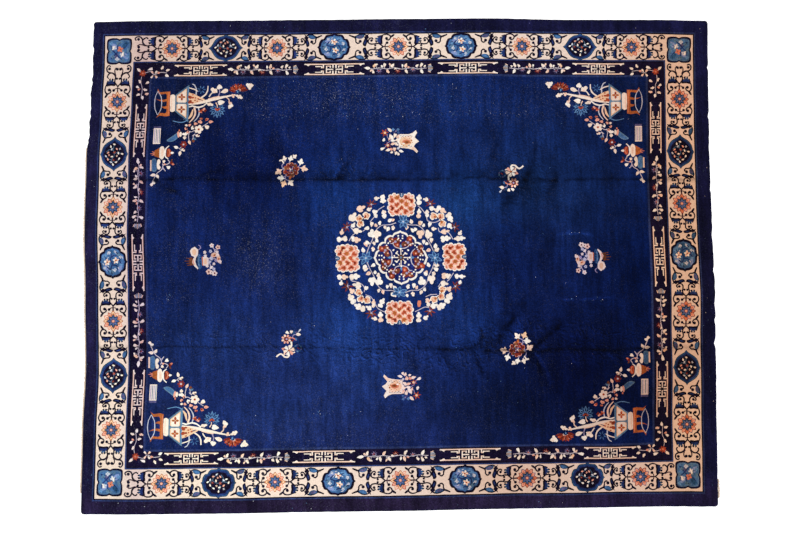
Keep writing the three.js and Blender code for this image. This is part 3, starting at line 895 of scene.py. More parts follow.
# the round medallion
medallion = {
    "blues": ((13, 219), (185, 14), (-17, -176), (-200, 17)),
    "peonies": ((5, 317, 0), (297, 17, -90), (-20, -291, 180), (-304, 17, 90)),
    "stars": ((-162, 320, 27), (-301, 192, 27), (167, 320, 27), (301, 183, 27), (295, -149, 29),
              (149, -282, 29), (-307, -137, 32), (-177, -291, 32)),
    "clusters": (
        ((-232, 240), (-190, 254), (-226, 210)), ((184, 250), (226, 246), (234, 206)),
        ((222, -164), (214, -204), (174, -218)), ((-246, -172), (-232, -210), (-198, -218))),
    # leaves: middle, length, width, turn
    "leaves": (
        (-132, 352, 27, 18, 10), (-99, 361, 24, 24, 60), (-97, 338, 24, 30, 90), (-94, 274, 20, 24, 110),
        (-92, 256, 34, 20, 110), (-221, 296, 44, 30, 25), (-174, 291, 27, 17, 25),
        (-143, 273, 22, 26, 80), (-138, 254, 24, 18, 120), (-267, 248, 48, 34, 55),
        (-265, 202, 28, 19, 55), (-329, 164, 30, 18, 80), (-242, 168, 44, 26, -10),
        (-190, 183, 24, 18, 10), (-341, 122, 30, 24, 0), (-316, 126, 30, 25, 180), (-262, 124, 26, 26, 0),
        (-243, 118, 32, 28, 0), (-161, 204, 24, 17, 80), (104, 358, 25, 26, 80), (102, 332, 34, 24, 100),
        (141, 345, 27, 18, 170), (103, 278, 26, 20, 90), (100, 255, 30, 20, 90), (147, 274, 20, 20, 90),
        (148, 258, 26, 17, 100), (178, 291, 34, 20, -20), (200, 282, 24, 20, -30),
        (218, 291, 32, 24, -30), (238, 277, 32, 24, -35), (270, 248, 30, 30, -55),
        (279, 228, 32, 26, -60), (161, 201, 24, 18, 70), (185, 177, 26, 18, 0), (274, 189, 32, 22, -50),
        (247, 160, 44, 21, 10), (332, 151, 26, 18, 60), (240, 118, 32, 30, 0), (262, 122, 28, 26, 0),
        (314, 119, 30, 24, 180), (342, 121, 32, 20, 0), (238, -90, 36, 28, -15), (256, -88, 26, 26, 20),
        (308, -92, 30, 22, 0), (335, -94, 30, 18, 0), (232, -131, 38, 24, -10), (321, -125, 20, 16, 70),
        (259, -161, 26, 26, 45), (262, -201, 34, 32, 60), (250, -224, 32, 28, 55),
        (222, -252, 30, 30, 25), (205, -262, 30, 26, 20), (173, -253, 36, 24, 20),
        (138, -224, 24, 24, 100), (140, -243, 26, 18, 110), (126, -318, 28, 20, 40),
        (87, -302, 26, 25, 90), (86, -328, 28, 23, 80), (-346, -87, 32, 24, 0), (-320, -87, 32, 24, 0),
        (-276, -87, 32, 26, 0), (-254, -84, 30, 28, 0), (-341, -119, 26, 18, 80),
        (-254, -132, 42, 28, 170), (-203, -149, 20, 20, 0), (-283, -164, 28, 24, 130),
        (-290, -198, 32, 30, 120), (-278, -220, 32, 28, 125), (-252, -250, 34, 30, 150),
        (-228, -264, 34, 28, 165), (-190, -260, 32, 20, 150), (-162, -228, 26, 18, 80),
        (-163, -248, 22, 18, 80), (-112, -224, 30, 24, 55), (-122, -246, 26, 24, 60),
        (-159, -321, 30, 16, 170), (-125, -298, 26, 24, 90), (-124, -326, 28, 24, 90)),
    # one quarter of the inner ring: vine as angle and reach, leaves as angle, reach, length and width
    "vine": ((7, 190), (20, 184), (33, 183), (48, 202), (61, 206), (74, 191), (84, 196)),
    "wreath": (
        (12, 208, 27, 21), (16, 161, 25, 19), (20, 204, 27, 21), (27, 201, 27, 20), (29, 164, 20, 17),
        (36, 159, 24, 18), (39, 206, 46, 38), (47, 176, 46, 38), (53, 220, 20, 16), (60, 222, 24, 17),
        (63, 185, 20, 16), (68, 170, 26, 19), (74, 213, 25, 19), (77, 169, 25, 19), (81, 214, 18, 15)),
    "stems": (
        ((-290, 112), (-272, 142), (-254, 160), (-272, 184)), ((-212, 166), (-188, 184)),
        ((-170, 219), (-147, 246), (-126, 284), (-90, 308)),
        ((96, 308), (114, 296), (132, 272), (144, 251)),
        ((144, 250), (150, 225), (180, 213), (210, 220), (222, 232)),
        ((209, 183), (218, 160), (262, 157), (280, 136), (292, 115)),
        ((286, -72), (262, -107), (247, -119)), ((197, -149), (209, -131), (232, -119)),
        ((190, -190), (155, -190), (126, -202)), ((66, -285), (90, -273), (120, -259), (144, -262)),
        ((-295, -84), (-284, -107), (-260, -113), (-230, -125), (-212, -149), (-215, -172)),
        ((-206, -187), (-177, -199), (-159, -226), (-141, -262), (-117, -279), (-100, -285)),
        ((-280, 190), (-262, 168))),
    # scalloped ring: turn from an axis and distance from the middle
    "ring": ((0, 153), (3, 148), (7, 145.5), (12, 143), (16, 139), (18.5, 132.5), (19.5, 130),
             (20.5, 132.5), (23, 138), (28, 140.5), (34, 140), (39, 136.5), (42.5, 130), (44, 124.5),
             (45, 122.5)),
    "brackets": (
        ((-61, 96), (-46, 94), (-38, 80), (-24, 72), (0, 68), (24, 72), (38, 81), (46, 93), (62, 96)),
        ((76, 68), (62, 56), (53, 40), (51, 18), (53, -6), (60, -22), (76, -34)),
        ((-76, 68), (-62, 58), (-55, 44), (-54, 20), (-55, -6), (-64, -23), (-80, -36)),
        ((-60, -58), (-44, -54), (-36, -38), (-24, -31), (-2, -28), (20, -32), (32, -40), (40, -54),
         (56, -54))),
    "reds": ((-38, 108, 0, False), (34, 106, 0, True), (98, 58, -90, False), (94, -16, -90, True),
             (30, -70, 180, False), (-46, -70, 180, True), (-94, -22, 90, False), (-94, 56, 90, True)),
}


# one of the four large spotted peonies, facing out along the line of its turn
peonyHearts = (
    ((-12, 8), (-5, 4), (0, 11), (6, 4), (13, 9), (10, -4), (2, -11), (-9, -5)),
    ((-14, 4), (-6, 9), (1, 3), (9, 10), (14, 1), (5, -4), (0, -10), (-8, -7)),
    ((-8, 11), (-1, 5), (7, 12), (11, 1), (4, -5), (-3, -12), (-11, -2)),
)


def spottedPeony(pen):
    lobes = ((-60, 44), (-42, 53), (-22, 48), (22, 48), (42, 54), (60, 44), (66, 22), (68, -4), (62, -27),
             (58, -49), (38, -57), (16, -50), (-8, -57), (-30, -50), (-50, -57), (-62, -42), (-68, -18),
             (-62, 5), (-67, 26))
    for x, y in lobes:
        pen.oval("cream", x, y, 28, 24, 7 * x)
    pen.bar("blush", -62, -50, 62, 48)
    for i, (x, y) in enumerate(lobes):
        pen.oval("pink" if i % 3 else "salmon", 0.96 * x, 0.95 * y, 23, 19, 7 * x)
    spots = ((-30, 40, 24), (33, 38, -40), (-61, 22, 60), (0, 20, -12), (62, 23, 130), (-29, -2, 16),
             (31, 2, -70), (-60, -20, 100), (-2, -21, 186), (58, -24, -24), (-28, -40, 30),
             (25, -41, -140))
    for i, (x, y, turn) in enumerate(spots):
        petal = pen.at(0.86 * x, 0.98 * y - 2, turn / 6)
        for dye, size in (("cream", 1.02), ("pink" if i % 4 else "peach", 0.94)):
            petal.shape(dye, *[(size * a, size * b) for a, b in (
                (-21, 6), (-15, 19), (-2, 16), (12, 20), (21, 7), (14, -13), (0, -20), (-14, -13))])
    for i, (x, y, turn) in enumerate(spots):
        heart = pen.at(0.86 * x, 0.98 * y, turn, 1.08)
        heart.poly("salmon", *[(1.3 * a, 1.3 * b) for a, b in peonyHearts[i % 3]])
        heart.poly("rust" if i % 3 else "tan", *peonyHearts[i % 3])
        if i % 3 == 1:
            heart.poly("brick", *[(0.55 * a - 2, 0.55 * b) for a, b in peonyHearts[i % 3]])
    pen.shape("midnight", (-14, 70), (-11, 48), (0, 38), (11, 48), (14, 70), step=7)
    pen.line("slate", (3, 6, 4), (-9, 66), (-7, 52), (0, 46), (7, 52), (9, 66))
    pen.line("mist", (2, 5), (0, 46), (0, 64))


def blueFlower(pen, x, y, turn):
    for a, reach in ((115, 38), (62, 36), (5, 30), (-62, 37), (-118, 34), (178, 26)):
        petal = pen.at(x, y, a + turn, reach / 36)
        petal.shape("sky", (2, 0), (15, 10), (27, 9), (42, 0), (27, -9), (15, -10), step=5)
        petal.shape("deepBlue", (9, 0), (17, 6), (26, 5), (35, 0), (26, -5), (17, -6), step=5)
        petal.line("blue", (3, 2), (8, 0), (30, 0))
    pen.dot("mist", x, y, 5)


# a rosy bloom of three lobes round its foot
def bloom(pen, lobes):
    foot = sum(complex(*p) for p in lobes) / 3
    for dye, size in (("cream", 47), ("peach", 38)):
        for x, y in lobes:
            pen.at(x, y, 7 * x).shape(dye, *[(size * a, 0.94 * size * b) for a, b in leafRings[2]])
    for i, (x, y) in enumerate(lobes):
        own = pen.at(x, y, 3 * x + y)
        own.line("pink", (4, 8, 4), (-13, -6), (-4, 9), (10, 12))
        own.line("salmon", (3, 7, 3), (13, 6), (5, -9), (-8, -12))
        pen.line("brown", (2, 5, 2), (x, y), (0.6 * x + 0.4 * foot.real + 5, 0.6 * y + 0.4 * foot.imag),
                 (foot.real, foot.imag))
        inward = 0.28 * (foot - complex(x, y))
        heart = [(0.75 * a, 0.75 * b) for a, b in peonyHearts[i]]
        tint = "rust" if i % 2 else "tan"
        pen.at(x + inward.real, y + inward.imag, 60 * i).shape(tint, *heart, step=4)


# a leaf, of three round lobes when it is large
def trefoil(pen, dye, x, y, long, wide, turn):
    if long < 28:
        leaf(pen, dye, x, y, 1.05 * long, wide, turn)
        return
    own = pen.at(x, y, turn)
    own.oval(dye, -0.2 * long, 0.24 * wide, 0.68 * long, 0.62 * wide, 24)
    own.oval(dye, -0.16 * long, -0.24 * wide, 0.62 * long, 0.64 * wide, -30)
    own.oval(dye, 0.22 * long, 0.02 * wide, 0.66 * long, 0.56 * wide)


def roundMedallion(pen):
    pen.lines("stem", 4, medallion["stems"])
    for x, y, turn in medallion["peonies"]:
        spottedPeony(pen.at(x, y, turn))
    for x, y, r in medallion["stars"]:
        way = math.degrees(math.atan2(y - 16, x + 6))
        pen.fan("brick", x, y, 1.2 * r, way + 18, 260, 6, 0.24, 0)
        pen.fan("brown", x, y, r, way - 4, 230, 5, 0.2, 0)
        pen.fan("lilac", x, y, 0.55 * r, way + 160, 140, 3, 0.26, 0)
        pen.dot("stem", x, y, 4)
    for lobes in medallion["clusters"]:
        bloom(pen, lobes)
    tints = ("ivory", "cream", "cream", "ivory", "cream", "blush")
    for i, (x, y, long, wide, turn) in enumerate(medallion["leaves"]):
        trefoil(pen, tints[i * 7 % 6], x, y, 1.12 * long, 1.1 * wide, turn)
    for k in range(4):
        quarter = pen.at(-6, 18, 90 * k + (90 if k % 2 else 0), 1, k % 2 == 1)
        vine = [(r, math.radians(a)) for a, r in medallion["vine"]]
        quarter.line("stem", 4, *[(r * math.cos(a), r * math.sin(a)) for r, a in vine])
        for i, (a, r, long, wide) in enumerate(medallion["wreath"]):
            a += dice.uniform(-2.5, 2.5)
            r += dice.uniform(-4, 4)
            x, y = r * math.cos(math.radians(a)), r * math.sin(math.radians(a))
            turn = a + (35 if r > 190 else 215) + dice.uniform(-40, 40)
            trefoil(quarter, tints[(i * 5 + k) % 6], x, y, long, wide, turn)
    for i, (x, y) in enumerate(medallion["blues"]):
        blueFlower(pen, x, y, 40 * i)
    pen.line("peach", (8, 18, 8), (104, 198), (106, 212), (102, 222))
    pen.line("salmon", (16, 22, 12), (92, -222), (90, -240), (88, -258))
    # scalloped ring and what it holds
    eighth = medallion["ring"]
    turns = [(a + 90 * k, r) for k in range(4)
             for a, r in list(eighth) + [(90 - a, r) for a, r in eighth[-2:0:-1]]]
    for dye, wider in (("cream", 6.5), ("midnight", -5.5)):
        pen.at(-5, 17).fill(dye, [(0.955 * r + wider) * heading(a) for a, r in turns])
    for x, y, turn, flip in medallion["reds"]:
        red = pen.at(0.97 * x, 0.97 * y, turn, 1.25, flip)
        red.poly("brick", (-28, 14), (-18, 22), (-4, 15), (8, 21), (22, 16), (26, 2), (20, -8), (24, -24),
                 (8, -30), (-2, -22), (-4, -8), (-22, -2))
        red.shape("brown", (-26, 12), (-14, 17), (-2, 10), (-8, 2), (-20, 2), step=5)
        red.shape("rust", (6, -6), (18, -8), (20, -22), (9, -27), (2, -18), step=5)
        red.shape("brown", (0, 8), (12, 14), (18, 2), (6, -3), step=5)
        for dye, u, v, r in (("lilac", 3, 1, 6), ("blush", 14, 11, 4.5), ("pink", -10, 12, 4),
                             ("pink", 12, -13, 4), ("stem", -6, -4, 3.5)):
            red.dot(dye, u, v, r)
    pen.lines("stem", (3, 5, 5, 5, 5, 5, 3), medallion["brackets"])
    for turn in (0, 90, 180, 270):
        arm = pen.at(-4, 18, turn)
        arm.line("stem", 3.4, (46, 0), (62, 0))
        arm.bud("sky", 64, 0, 22, 12, 0)
        for u, v in ((94, 0), (107, 11), (107, -11), (121, 12), (121, -12), (80, 68), (78, -68), (90, 58),
                     (42, 40), (42, -40)):
            arm.dot("cream", u, v, 4.8)
    heart = pen.at(-4, 18)
    for k in range(8):
        spoke = heart.at(0, 0, 45 * k)
        spoke.line("ivory", (6, 4), (8, 0), (44 if k % 2 == 0 else 30, 0), step=20)
        spoke.dot("cream", 48 if k % 2 == 0 else 34, 0, 6)
        spoke.dot("ivory", 32, 20, 4.5)
    heart.dot("brown", 0, 0, 15)
    heart.dot("slate", 0, 0, 7)


# where single knots have lost their pile: left, right, near, far and how many
wear = {
    "specks": ((-900, 800, 812, 846, 70), (-520, -220, -856, -826, 26), (880, 1080, 132, 156, 8),
               (900, 1190, -236, -206, 10), (-1310, -1280, -210, -170, 12),
               (-1350, 1330, -1000, 1000, 80), (-900, 320, 850, 1034, 70)),
    # broad rubbed places: middle, reach and how bare
    "rubbed": ((-290, 942, 640, 100, 0.55), (-305, 968, 170, 75, 0.5), (-30, 940, 60, 80, 0.4),
               (930, 925, 370, 105, 0.3), (-775, 40, 120, 170, 0.8), (-820, -60, 80, 60, 0.4),
               (-500, -990, 520, 40, 0.35), (-1240, 60, 90, 140, 0.25), (0, 830, 1000, 50, 0.25)),
    "band": ((1680, 1735, -1330, 1330, 22), (-1730, 1730, 1300, 1360, 20),
             (-1730, 1730, -1365, -1300, 26), (-1745, -1690, -1330, 1330, 16)),
}


def pattern():
    shapes = []
    pen = Pen(shapes)
    for name, dye, wider in (("outer", "line", 14), ("outer", "ink", 7), ("outer", "ground", 0),
                             ("inner", "line", 0), ("inner", "ink", -8), ("inner", "navy", -16),
                             ("guard", "line", 0), ("field", "field", 0)):
        left, right, near, far = borders[name]
        corners = [complex(left - wider, near - wider), complex(right + wider, near - wider),
                   complex(right + wider, far + wider), complex(left - wider, far + wider)]
        ring = []
        for a, b in zip(corners, corners[1:] + corners[:1]):
            parts = round(abs(b - a) / 18)
            ring += [a + (b - a) * k / parts for k in range(parts)]
        pen.fill(dye, ring)
    ivoryBorder(pen)
    fretBorder(pen)
    for x, y, turn, flip in ((0, 0, 0, False), (12, 0, 0, True), (-32, 0, 180, True),
                             (-32, 0, 180, False)):
        spandrel(pen.at(x, y, turn, 1, flip))
    for name, draw in (("vase", vase), ("peony", peony), ("flowerStem", flowerStem), ("censer", censer)):
        for i, (x, y) in enumerate(fieldMotifs[name]):
            draw(pen.at(x, y, 180 * i))
    roundMedallion(pen)
    # bare knots
    for x0, x1, y0, y1, count in wear["specks"] + wear["band"]:
        for k in range(count):
            spot = pen.at(dice.uniform(x0, x1), dice.uniform(y0, y1), dice.uniform(0, 90),
                          dice.uniform(1.2, 2.4))
            spot.poly(("slate", "dusk", "sky", "mist")[k % 4], (-1, 0), (0, -0.8), (1.2, 0), (0, 1))
    return shapes


# a value between the rows of a table, eased
def eased(at, values, place):
    at = np.array(at, float)
    values = np.array(values, float)
    i = np.clip(np.searchsorted(at, place) - 1, 0, len(at) - 2)
    share = np.clip((place - at[i]) / (at[i + 1] - at[i]), 0, 1)
    return values[i] + (values[i + 1] - values[i]) * (1 - np.cos(np.pi * share)) / 2


# points of the straight rectangle moved to their places inside the uneven outline
def placeInOutline(x, y):
    ends, sides = rug["endBows"], rug["sideBows"]
    along, across = x / rug["length"] + 0.5, y / rug["width"] + 0.5
    left, right = (eased(ends["at"], ends[name], y) for name in ("left", "right"))
    near, far = (eased(sides["at"], sides[name], x) for name in ("near", "far"))
    return x - left * (1 - along) + right * along, y - near * (1 - across) + far * across


# the rounded rectangle, drawn in from the edge, anticlockwise
def rimLoop(inset, step):
    halfX, halfY, r = rug["length"] / 2, rug["width"] / 2, rug["cornerRadius"]
    loop = []
    for k, (sx, sy) in enumerate(((1, 1), (-1, 1), (-1, -1), (1, -1))):
        centre = complex(sx * (halfX - r), sy * (halfY - r))
        for j in range(7):
            a = math.pi / 2 * (k + j / 6)
            loop.append(centre + (r - inset) * complex(math.cos(a), math.sin(a)))
        sx, sy = ((-1, 1), (-1, -1), (1, -1), (1, 1))[k]
        goal = complex(sx * (halfX - r), sy * (halfY - r)) + (r - inset) * 1j ** (k + 1)
        parts = round(abs(goal - loop[-1]) / step)
        start = loop[-1]
        loop += [start + (goal - start) * i / parts for i in range(1, parts)]
    return loop


# how the pile lies: fold ridges across the rug, and creases and ripples given one by one
lie = {
    "folds": ((457, 3.0), (-488, 2.5)), "foldSpread": 42,
    "creaseReach": 1.5, "creaseShade": 2.6, "creaseRise": 2.2, "darkest": -0.85, "lightest": 2.2,
    # path, half width, height, and the painted shade (below nought) or painted highlight (above nought)
    # laid into the wool's colour along it
    "creases": (
        (((-1420, 470), (-1200, 477), (-1000, 467), (-860, 470), (-700, 459), (-580, 462), (-400, 458),
          (-250, 456), (-100, 460), (60, 455), (250, 458), (420, 462), (560, 455), (760, 452), (950, 455),
          (1150, 458), (1395, 452)),
         6, -0.7, -0.3),
        (((-960, 486), (-700, 480), (-420, 478), (-100, 482), (300, 478), (700, 474)), 22, 0.4, -0.2),
        (((-1390, -466), (-1200, -462), (-1000, -470), (-800, -466), (-640, -474), (-420, -480),
          (-200, -486), (0, -492), (130, -488)),
         4, -0.5, -0.22),
        (((130, -488), (240, -500), (330, -497), (400, -490), (480, -506), (560, -508), (740, -514),
          (830, -506), (920, -500), (1000, -506), (1150, -510), (1250, -505), (1390, -500)),
         8, -0.8, -0.33),
        (((620, -330), (560, -400), (530, -455)), 14, -0.8, -0.36),
        (((585, -325), (532, -392), (500, -440)), 9, 0.8, 0.5),
        (((655, -242), (560, -370), (460, -490)), 24, -0.5, -0.2),
        (((720, -250), (640, -360), (545, -480)), 20, 0.5, 0.16),
        (((735, -524), (765, -562), (800, -622), (822, -690)), 6, 0.7, 0.8),
        (((716, -530), (748, -580), (782, -650)), 12, -0.6, -0.3),
        (((920, -520), (945, -560), (966, -592)), 6, 0.6, 0.6),
        (((1150, -528), (1178, -556), (1190, -590)), 6, 0.6, 0.6),
        (((740, -482), (790, -440), (850, -392), (884, -358)), 15, -0.7, -0.34),
        (((780, -476), (840, -426), (900, -384)), 10, 0.5, 0.3),
        (((430, -390), (440, -436), (398, -484)), 9, -0.6, -0.36),
        (((452, -400), (470, -440), (440, -480)), 7, 0.5, 0.3),
        (((388, -505), (412, -560), (440, -640)), 10, -0.5, -0.25),
        (((410, -505), (436, -560), (470, -630)), 8, 0.5, 0.25),
        (((20, -520), (58, -566), (82, -616)), 7, -0.4, -0.22),
        (((140, -506), (168, -560), (176, -600)), 7, 0.4, 0.22),
        (((232, -520), (250, -576), (290, -620)), 8, -0.4, -0.24),
        (((-80, -500), (-50, -548), (-60, -596)), 7, 0.4, 0.18),
        (((100, -440), (80, -470), (96, -500)), 8, -0.4, -0.22),
        (((300, -430), (270, -462), (286, -490)), 7, 0.4, 0.22),
        (((545, 330), (556, 100), (540, -120), (548, -300)), 20, 0.9, 0.12),
        (((575, 330), (586, 100), (570, -120), (576, -300)), 18, -0.6, -0.14),
        (((590, 330), (672, 400), (736, 520), (758, 640)), 16, -0.6, -0.2),
        (((556, 340), (640, 410), (704, 530), (720, 640)), 14, 0.6, 0.16),
        (((520, 560), (542, 650), (505, 770)), 15, -0.5, -0.18),
        (((850, 400), (880, 480), (860, 600)), 15, -0.5, -0.16),
        (((-372, 478), (-346, 520), (-328, 556)), 5, 0.5, 0.7),
        (((-346, 470), (-312, 518), (-300, 566)), 12, -0.6, -0.42),
        (((-196, 476), (-180, 500), (-160, 516)), 4, 0.4, 0.5),
        (((-1372, 470), (-1300, 416), (-1248, 398)), 11, -0.5, -0.34),
        (((880, 141), (960, 149), (1080, 140)), 4, 0.3, 0.5),
        (((900, -226), (1000, -221), (1184, -215)), 4, 0.3, 0.5),
        (((-1120, 492), (-1060, 512), (-1010, 516)), 9, -0.4, -0.2),
        (((-860, 300), (-852, 200), (-866, 90)), 14, -0.4, -0.16),
        (((-1650, 470), (-1540, 474), (-1425, 471)), 8, -0.8, -0.2),
        (((1395, 452), (1540, 456), (1690, 452)), 8, -0.8, -0.2),
        (((1390, -500), (1520, -496), (1690, -498)), 8, -0.8, -0.2),
        (((-1690, -470), (-1540, -466), (-1392, -466)), 8, -0.8, -0.2),
    ),
    # where the wool is crumpled into small wrinkles, shown only as painted shade and painted highlight in
    # its colour: middle, reach and how much
    "wrinkleShadingPatches": (
        (-1100, -455, 380, 80, 0.6), (-600, -465, 420, 90, 0.75), (-100, -505, 330, 105, 1.0),
        (270, -520, 280, 130, 1.0), (620, -450, 300, 150, 1.0), (1050, -450, 320, 150, 0.9),
        (-320, 500, 160, 80, 0.6), (640, 460, 280, 170, 0.6), (560, 0, 130, 380, 0.5),
        (-1200, 440, 300, 70, 0.4), (0, 0, 5000, 5000, 0.2),
    ),
    # bites out of the two ends: place across, half width and depth
    "bites": {
        1: ((-60, 16, 6), (-345, 12, 7), (-470, 18, 8), (-250, 30, 4), (130, 22, 4), (400, 12, 4),
            (640, 26, 3), (820, 14, 5), (1100, 10, 4)),
        -1: ((1075, 16, 5), (1020, 12, 5), (880, 14, 3), (720, 10, 4), (1210, 18, 4)),
    },
}


# the creases as rows of spots, for their closeness to any place
def creaseRows():
    rows = []
    for path, reach, height, shade in lie["creases"]:
        spots = np.array(curve([complex(*p) for p in path], False, 20))
        wiggle = np.array([noise.noise((p.real / 38, p.imag / 38, 2)) for p in spots])
        shade = min(max(shade * lie["creaseShade"], lie["darkest"]), lie["lightest"])
        rows.append((spots + wiggle * complex(3, 7), reach * lie["creaseReach"],
                     height * lie["creaseRise"], shade))
    return rows


# how close each place is to a row of spots, from 0 to 1
def nearness(x, y, spots, reach):
    share = np.zeros(len(x))
    box = 3 * reach
    inX = (x > spots.real.min() - box) & (x < spots.real.max() + box)
    inY = (y > spots.imag.min() - box) & (y < spots.imag.max() + box)
    close = np.flatnonzero(inX & inY)
    if len(close):
        spot = x[close] + 1j * y[close]
        off = np.full(len(close), 1e9)
        for a, b in zip(spots, spots[1:]):
            t = np.clip(((spot - a) / (b - a)).real, 0, 1)
            off = np.minimum(off, np.abs(spot - a - t * (b - a)))
        share[close] = np.exp(-(off / reach) ** 2)
    return share


# height of the pile over the floor
def pileHeight(x, y):
    z = np.full(len(x), float(rug["pileTop"]))
    for at, rise in lie["folds"]:
        wander = 5 * np.sin(x / 410 + at) + 3 * np.sin(x / 150)
        off = np.clip(np.abs(y - at - wander) / lie["foldSpread"], 0, 1)
        z += rise * (1 + np.cos(np.pi * off)) / 2 * (0.8 + 0.2 * np.sin(x / 260 + 2 * at))
    for spots, reach, height, _ in creaseRows():
        z += height * nearness(x, y, spots, reach)
    return z + 0.35 * np.sin(x / 330 + 1) * np.sin(y / 290)


# the worn edge: how rough its stretches are, how far it stands out, and the strip of pile that follows it
edgeWear = {
    "strip": 40, "right": 2.4, "upperLeft": 7.0, "besideWeb": 0.5, "selvedge": 1.3,
    "webTop": 660, "biteDepth": 1.2, "endOut": 2.5, "sideOut": 3,
}


# how far the worn edge stands back from the straight one
def ragged(x, y):
    strip = edgeWear["strip"]
    backX, backY = np.zeros(len(x)), np.zeros(len(x))

    def lumps(place, side, long, short, seed):
        fine = 0.5 * noise.noise((place / short, side, seed + 2))
        return 0.6 + noise.noise((place / long, side, seed)) + fine

    for i, (a, b) in enumerate(zip(x, y)):
        toEnd, toSide = rug["length"] / 2 - abs(a), rug["width"] / 2 - abs(b)
        if toEnd < strip:
            side = 1 if a > 0 else -1
            stretch = "right" if side > 0 else "upperLeft" if b > edgeWear["webTop"] else "besideWeb"
            back = edgeWear[stretch] * lumps(b, side, 34, 11, 2)
            for at, wide, depth in lie["bites"][side]:
                back += edgeWear["biteDepth"] * depth * math.exp(-((b - at) / wide) ** 2)
            backX[i] = -side * (back - edgeWear["endOut"]) * (1 - toEnd / strip)
        if toSide < strip:
            side = 1 if b > 0 else -1
            back = edgeWear["selvedge"] * lumps(a, side, 48, 14, 6)
            backY[i] = -side * (back - edgeWear["sideOut"]) * (1 - toSide / strip)
    return backX, backY


# screen colour to the linear one of the shader
def linear(rgb):
    return [c / 255 / 12.92 if c <= 10 else ((c / 255 + 0.055) / 1.055) ** 2.4 for c in rgb]


# soft patches where the wool is lighter or darker, partly the dyes' own fading and partly painted sheen
# and painted light and shade: middle, reach, and what they do to each of its colours
fadesAndPaintedLight = {
    "field": (
        (-600, -680, 800, 420, (2.3, 1.75, 1.42)), (950, -640, 480, 470, (0.20, 0.22, 0.33)),
        (1330, -80, 300, 560, (0.24, 0.40, 0.50)), (-900, 560, 400, 280, (0.34, 0.45, 0.62)),
        (150, 860, 700, 260, (1.05, 1.25, 1.18)), (0, -980, 900, 140, (1.35, 1.05, 1.0)),
        (-1360, -760, 120, 300, (1.5, 1.2, 1.0)), (-780, -20, 110, 120, (1.7, 1.3, 1.1)),
        (-400, 0, 130, 330, (1.2, 1.25, 1.2)), (390, 60, 90, 300, (1.15, 1.25, 1.2)),
        (-760, 60, 110, 160, (0.8, 0.8, 0.82)), (-360, 390, 210, 190, (1.35, 1.9, 1.65)),
        (370, 390, 200, 190, (1.3, 1.65, 1.45)), (-360, -360, 210, 190, (1.2, 1.6, 1.5)),
        (370, -360, 190, 170, (1.4, 1.7, 1.5)), (640, 40, 180, 320, (0.7, 0.8, 0.86)),
        (-6, 16, 300, 300, (1.4, 1.7, 1.5)), (44, 445, 170, 110, (1.4, 1.5, 1.45)),
        (266, 270, 120, 200, (1.3, 1.5, 1.35)), (266, 930, 120, 110, (1.3, 1.45, 1.4)),
        (-1070, -430, 260, 170, (1.4, 1.5, 1.35)), (-170, -560, 190, 230, (1.45, 1.6, 1.5)),
        (600, -830, 380, 220, (0.6, 0.6, 0.56)), (710, 450, 110, 110, (0.7, 0.78, 0.68)),
        (-620, 100, 110, 90, (0.8, 0.8, 0.8)), (1290, 870, 260, 240, (0.45, 0.45, 0.4)),
        (-1290, 890, 260, 230, (0.45, 0.43, 0.38)), (1350, -790, 230, 280, (0.4, 0.4, 0.42)),
        (-750, -890, 450, 120, (1.25, 1.3, 1.18)), (900, 450, 480, 380, (1.05, 1.16, 0.88)),
        (560, 290, 380, 110, (1.15, 1.22, 1.1)), (780, 40, 140, 190, (0.85, 0.85, 0.88)),
    ),
    "edge": (
        (0, -1330, 2400, 90, (2.9, 1.75, 1.12)), (-1720, -200, 90, 900, (2.0, 1.6, 1.38)),
        (1710, -100, 90, 1300, (0.66, 0.56, 0.52)), (-700, 1330, 500, 90, (1.2, 1.15, 1.1)),
    ),
    "other": (
        (1620, 0, 420, 4000, (0.83, 0.59, 0.43)), (-1250, -1000, 700, 700, (1.14, 1.19, 1.14)),
        (-1250, 1150, 550, 450, (0.87, 0.81, 0.78)), (50, 1215, 350, 150, (1.08, 1.1, 1.08)),
        (640, -1215, 420, 160, (0.82, 0.67, 0.58)), (1180, -760, 430, 340, (0.66, 0.54, 0.52)),
        (1040, 0, 180, 260, (0.7, 0.64, 0.8)), (-1010, 0, 180, 260, (0.72, 0.67, 0.8)),
        (-1454, 0, 75, 1700, (0.74, 0.66, 0.84)), (1250, 800, 300, 300, (0.9, 0.85, 0.87)),
        (30, -700, 150, 170, (0.93, 0.82, 0.88)), (-620, -1215, 480, 130, (1.14, 1.14, 1.12)),
        (-1590, -640, 110, 330, (1.06, 1.05, 1.04)), (1590, 860, 110, 220, (1.12, 1.1, 1.1)),
        (1590, -900, 110, 200, (1.18, 1.2, 1.12)),
    ),
}


# a path with the points that hardly bend it left out
def thinned(path, slack=1.0):
    chord = path[-1] - path[0]
    if abs(chord) > 1e-6:
        off = [abs(((p - path[0]) * chord.conjugate()).imag) / abs(chord) for p in path]
    else:
        off = [abs(p - path[0]) for p in path]
    far = max(range(len(path)), key=off.__getitem__)
    if off[far] <= slack:
        return [path[0], path[-1]]
    return thinned(path[:far + 1], slack)[:-1] + thinned(path[far:], slack)


# a loop with few points where it is straight, but none far apart
def evenLoop(loop, longest):
    thin = thinned(loop + loop[:1])
    even = []
    for a, b in zip(thin, thin[1:]):
        parts = math.ceil(abs(b - a) / longest)
        even += [a + (b - a) * k / parts for k in range(parts)]
    return even


def flat(p):
    return Vector((p.real, p.imag))


# points and faces of closed loops, each turned anticlockwise
def loopFaces(loops):
    points, faces = [], []
    for loop in loops:
        if sum((a.conjugate() * b).imag for a, b in zip(loop, loop[1:] + loop[:1])) < 0:
            loop = loop[::-1]
        faces.append(list(range(len(points), len(points) + len(loop))))
        points += [flat(p) for p in loop]
    return points, faces


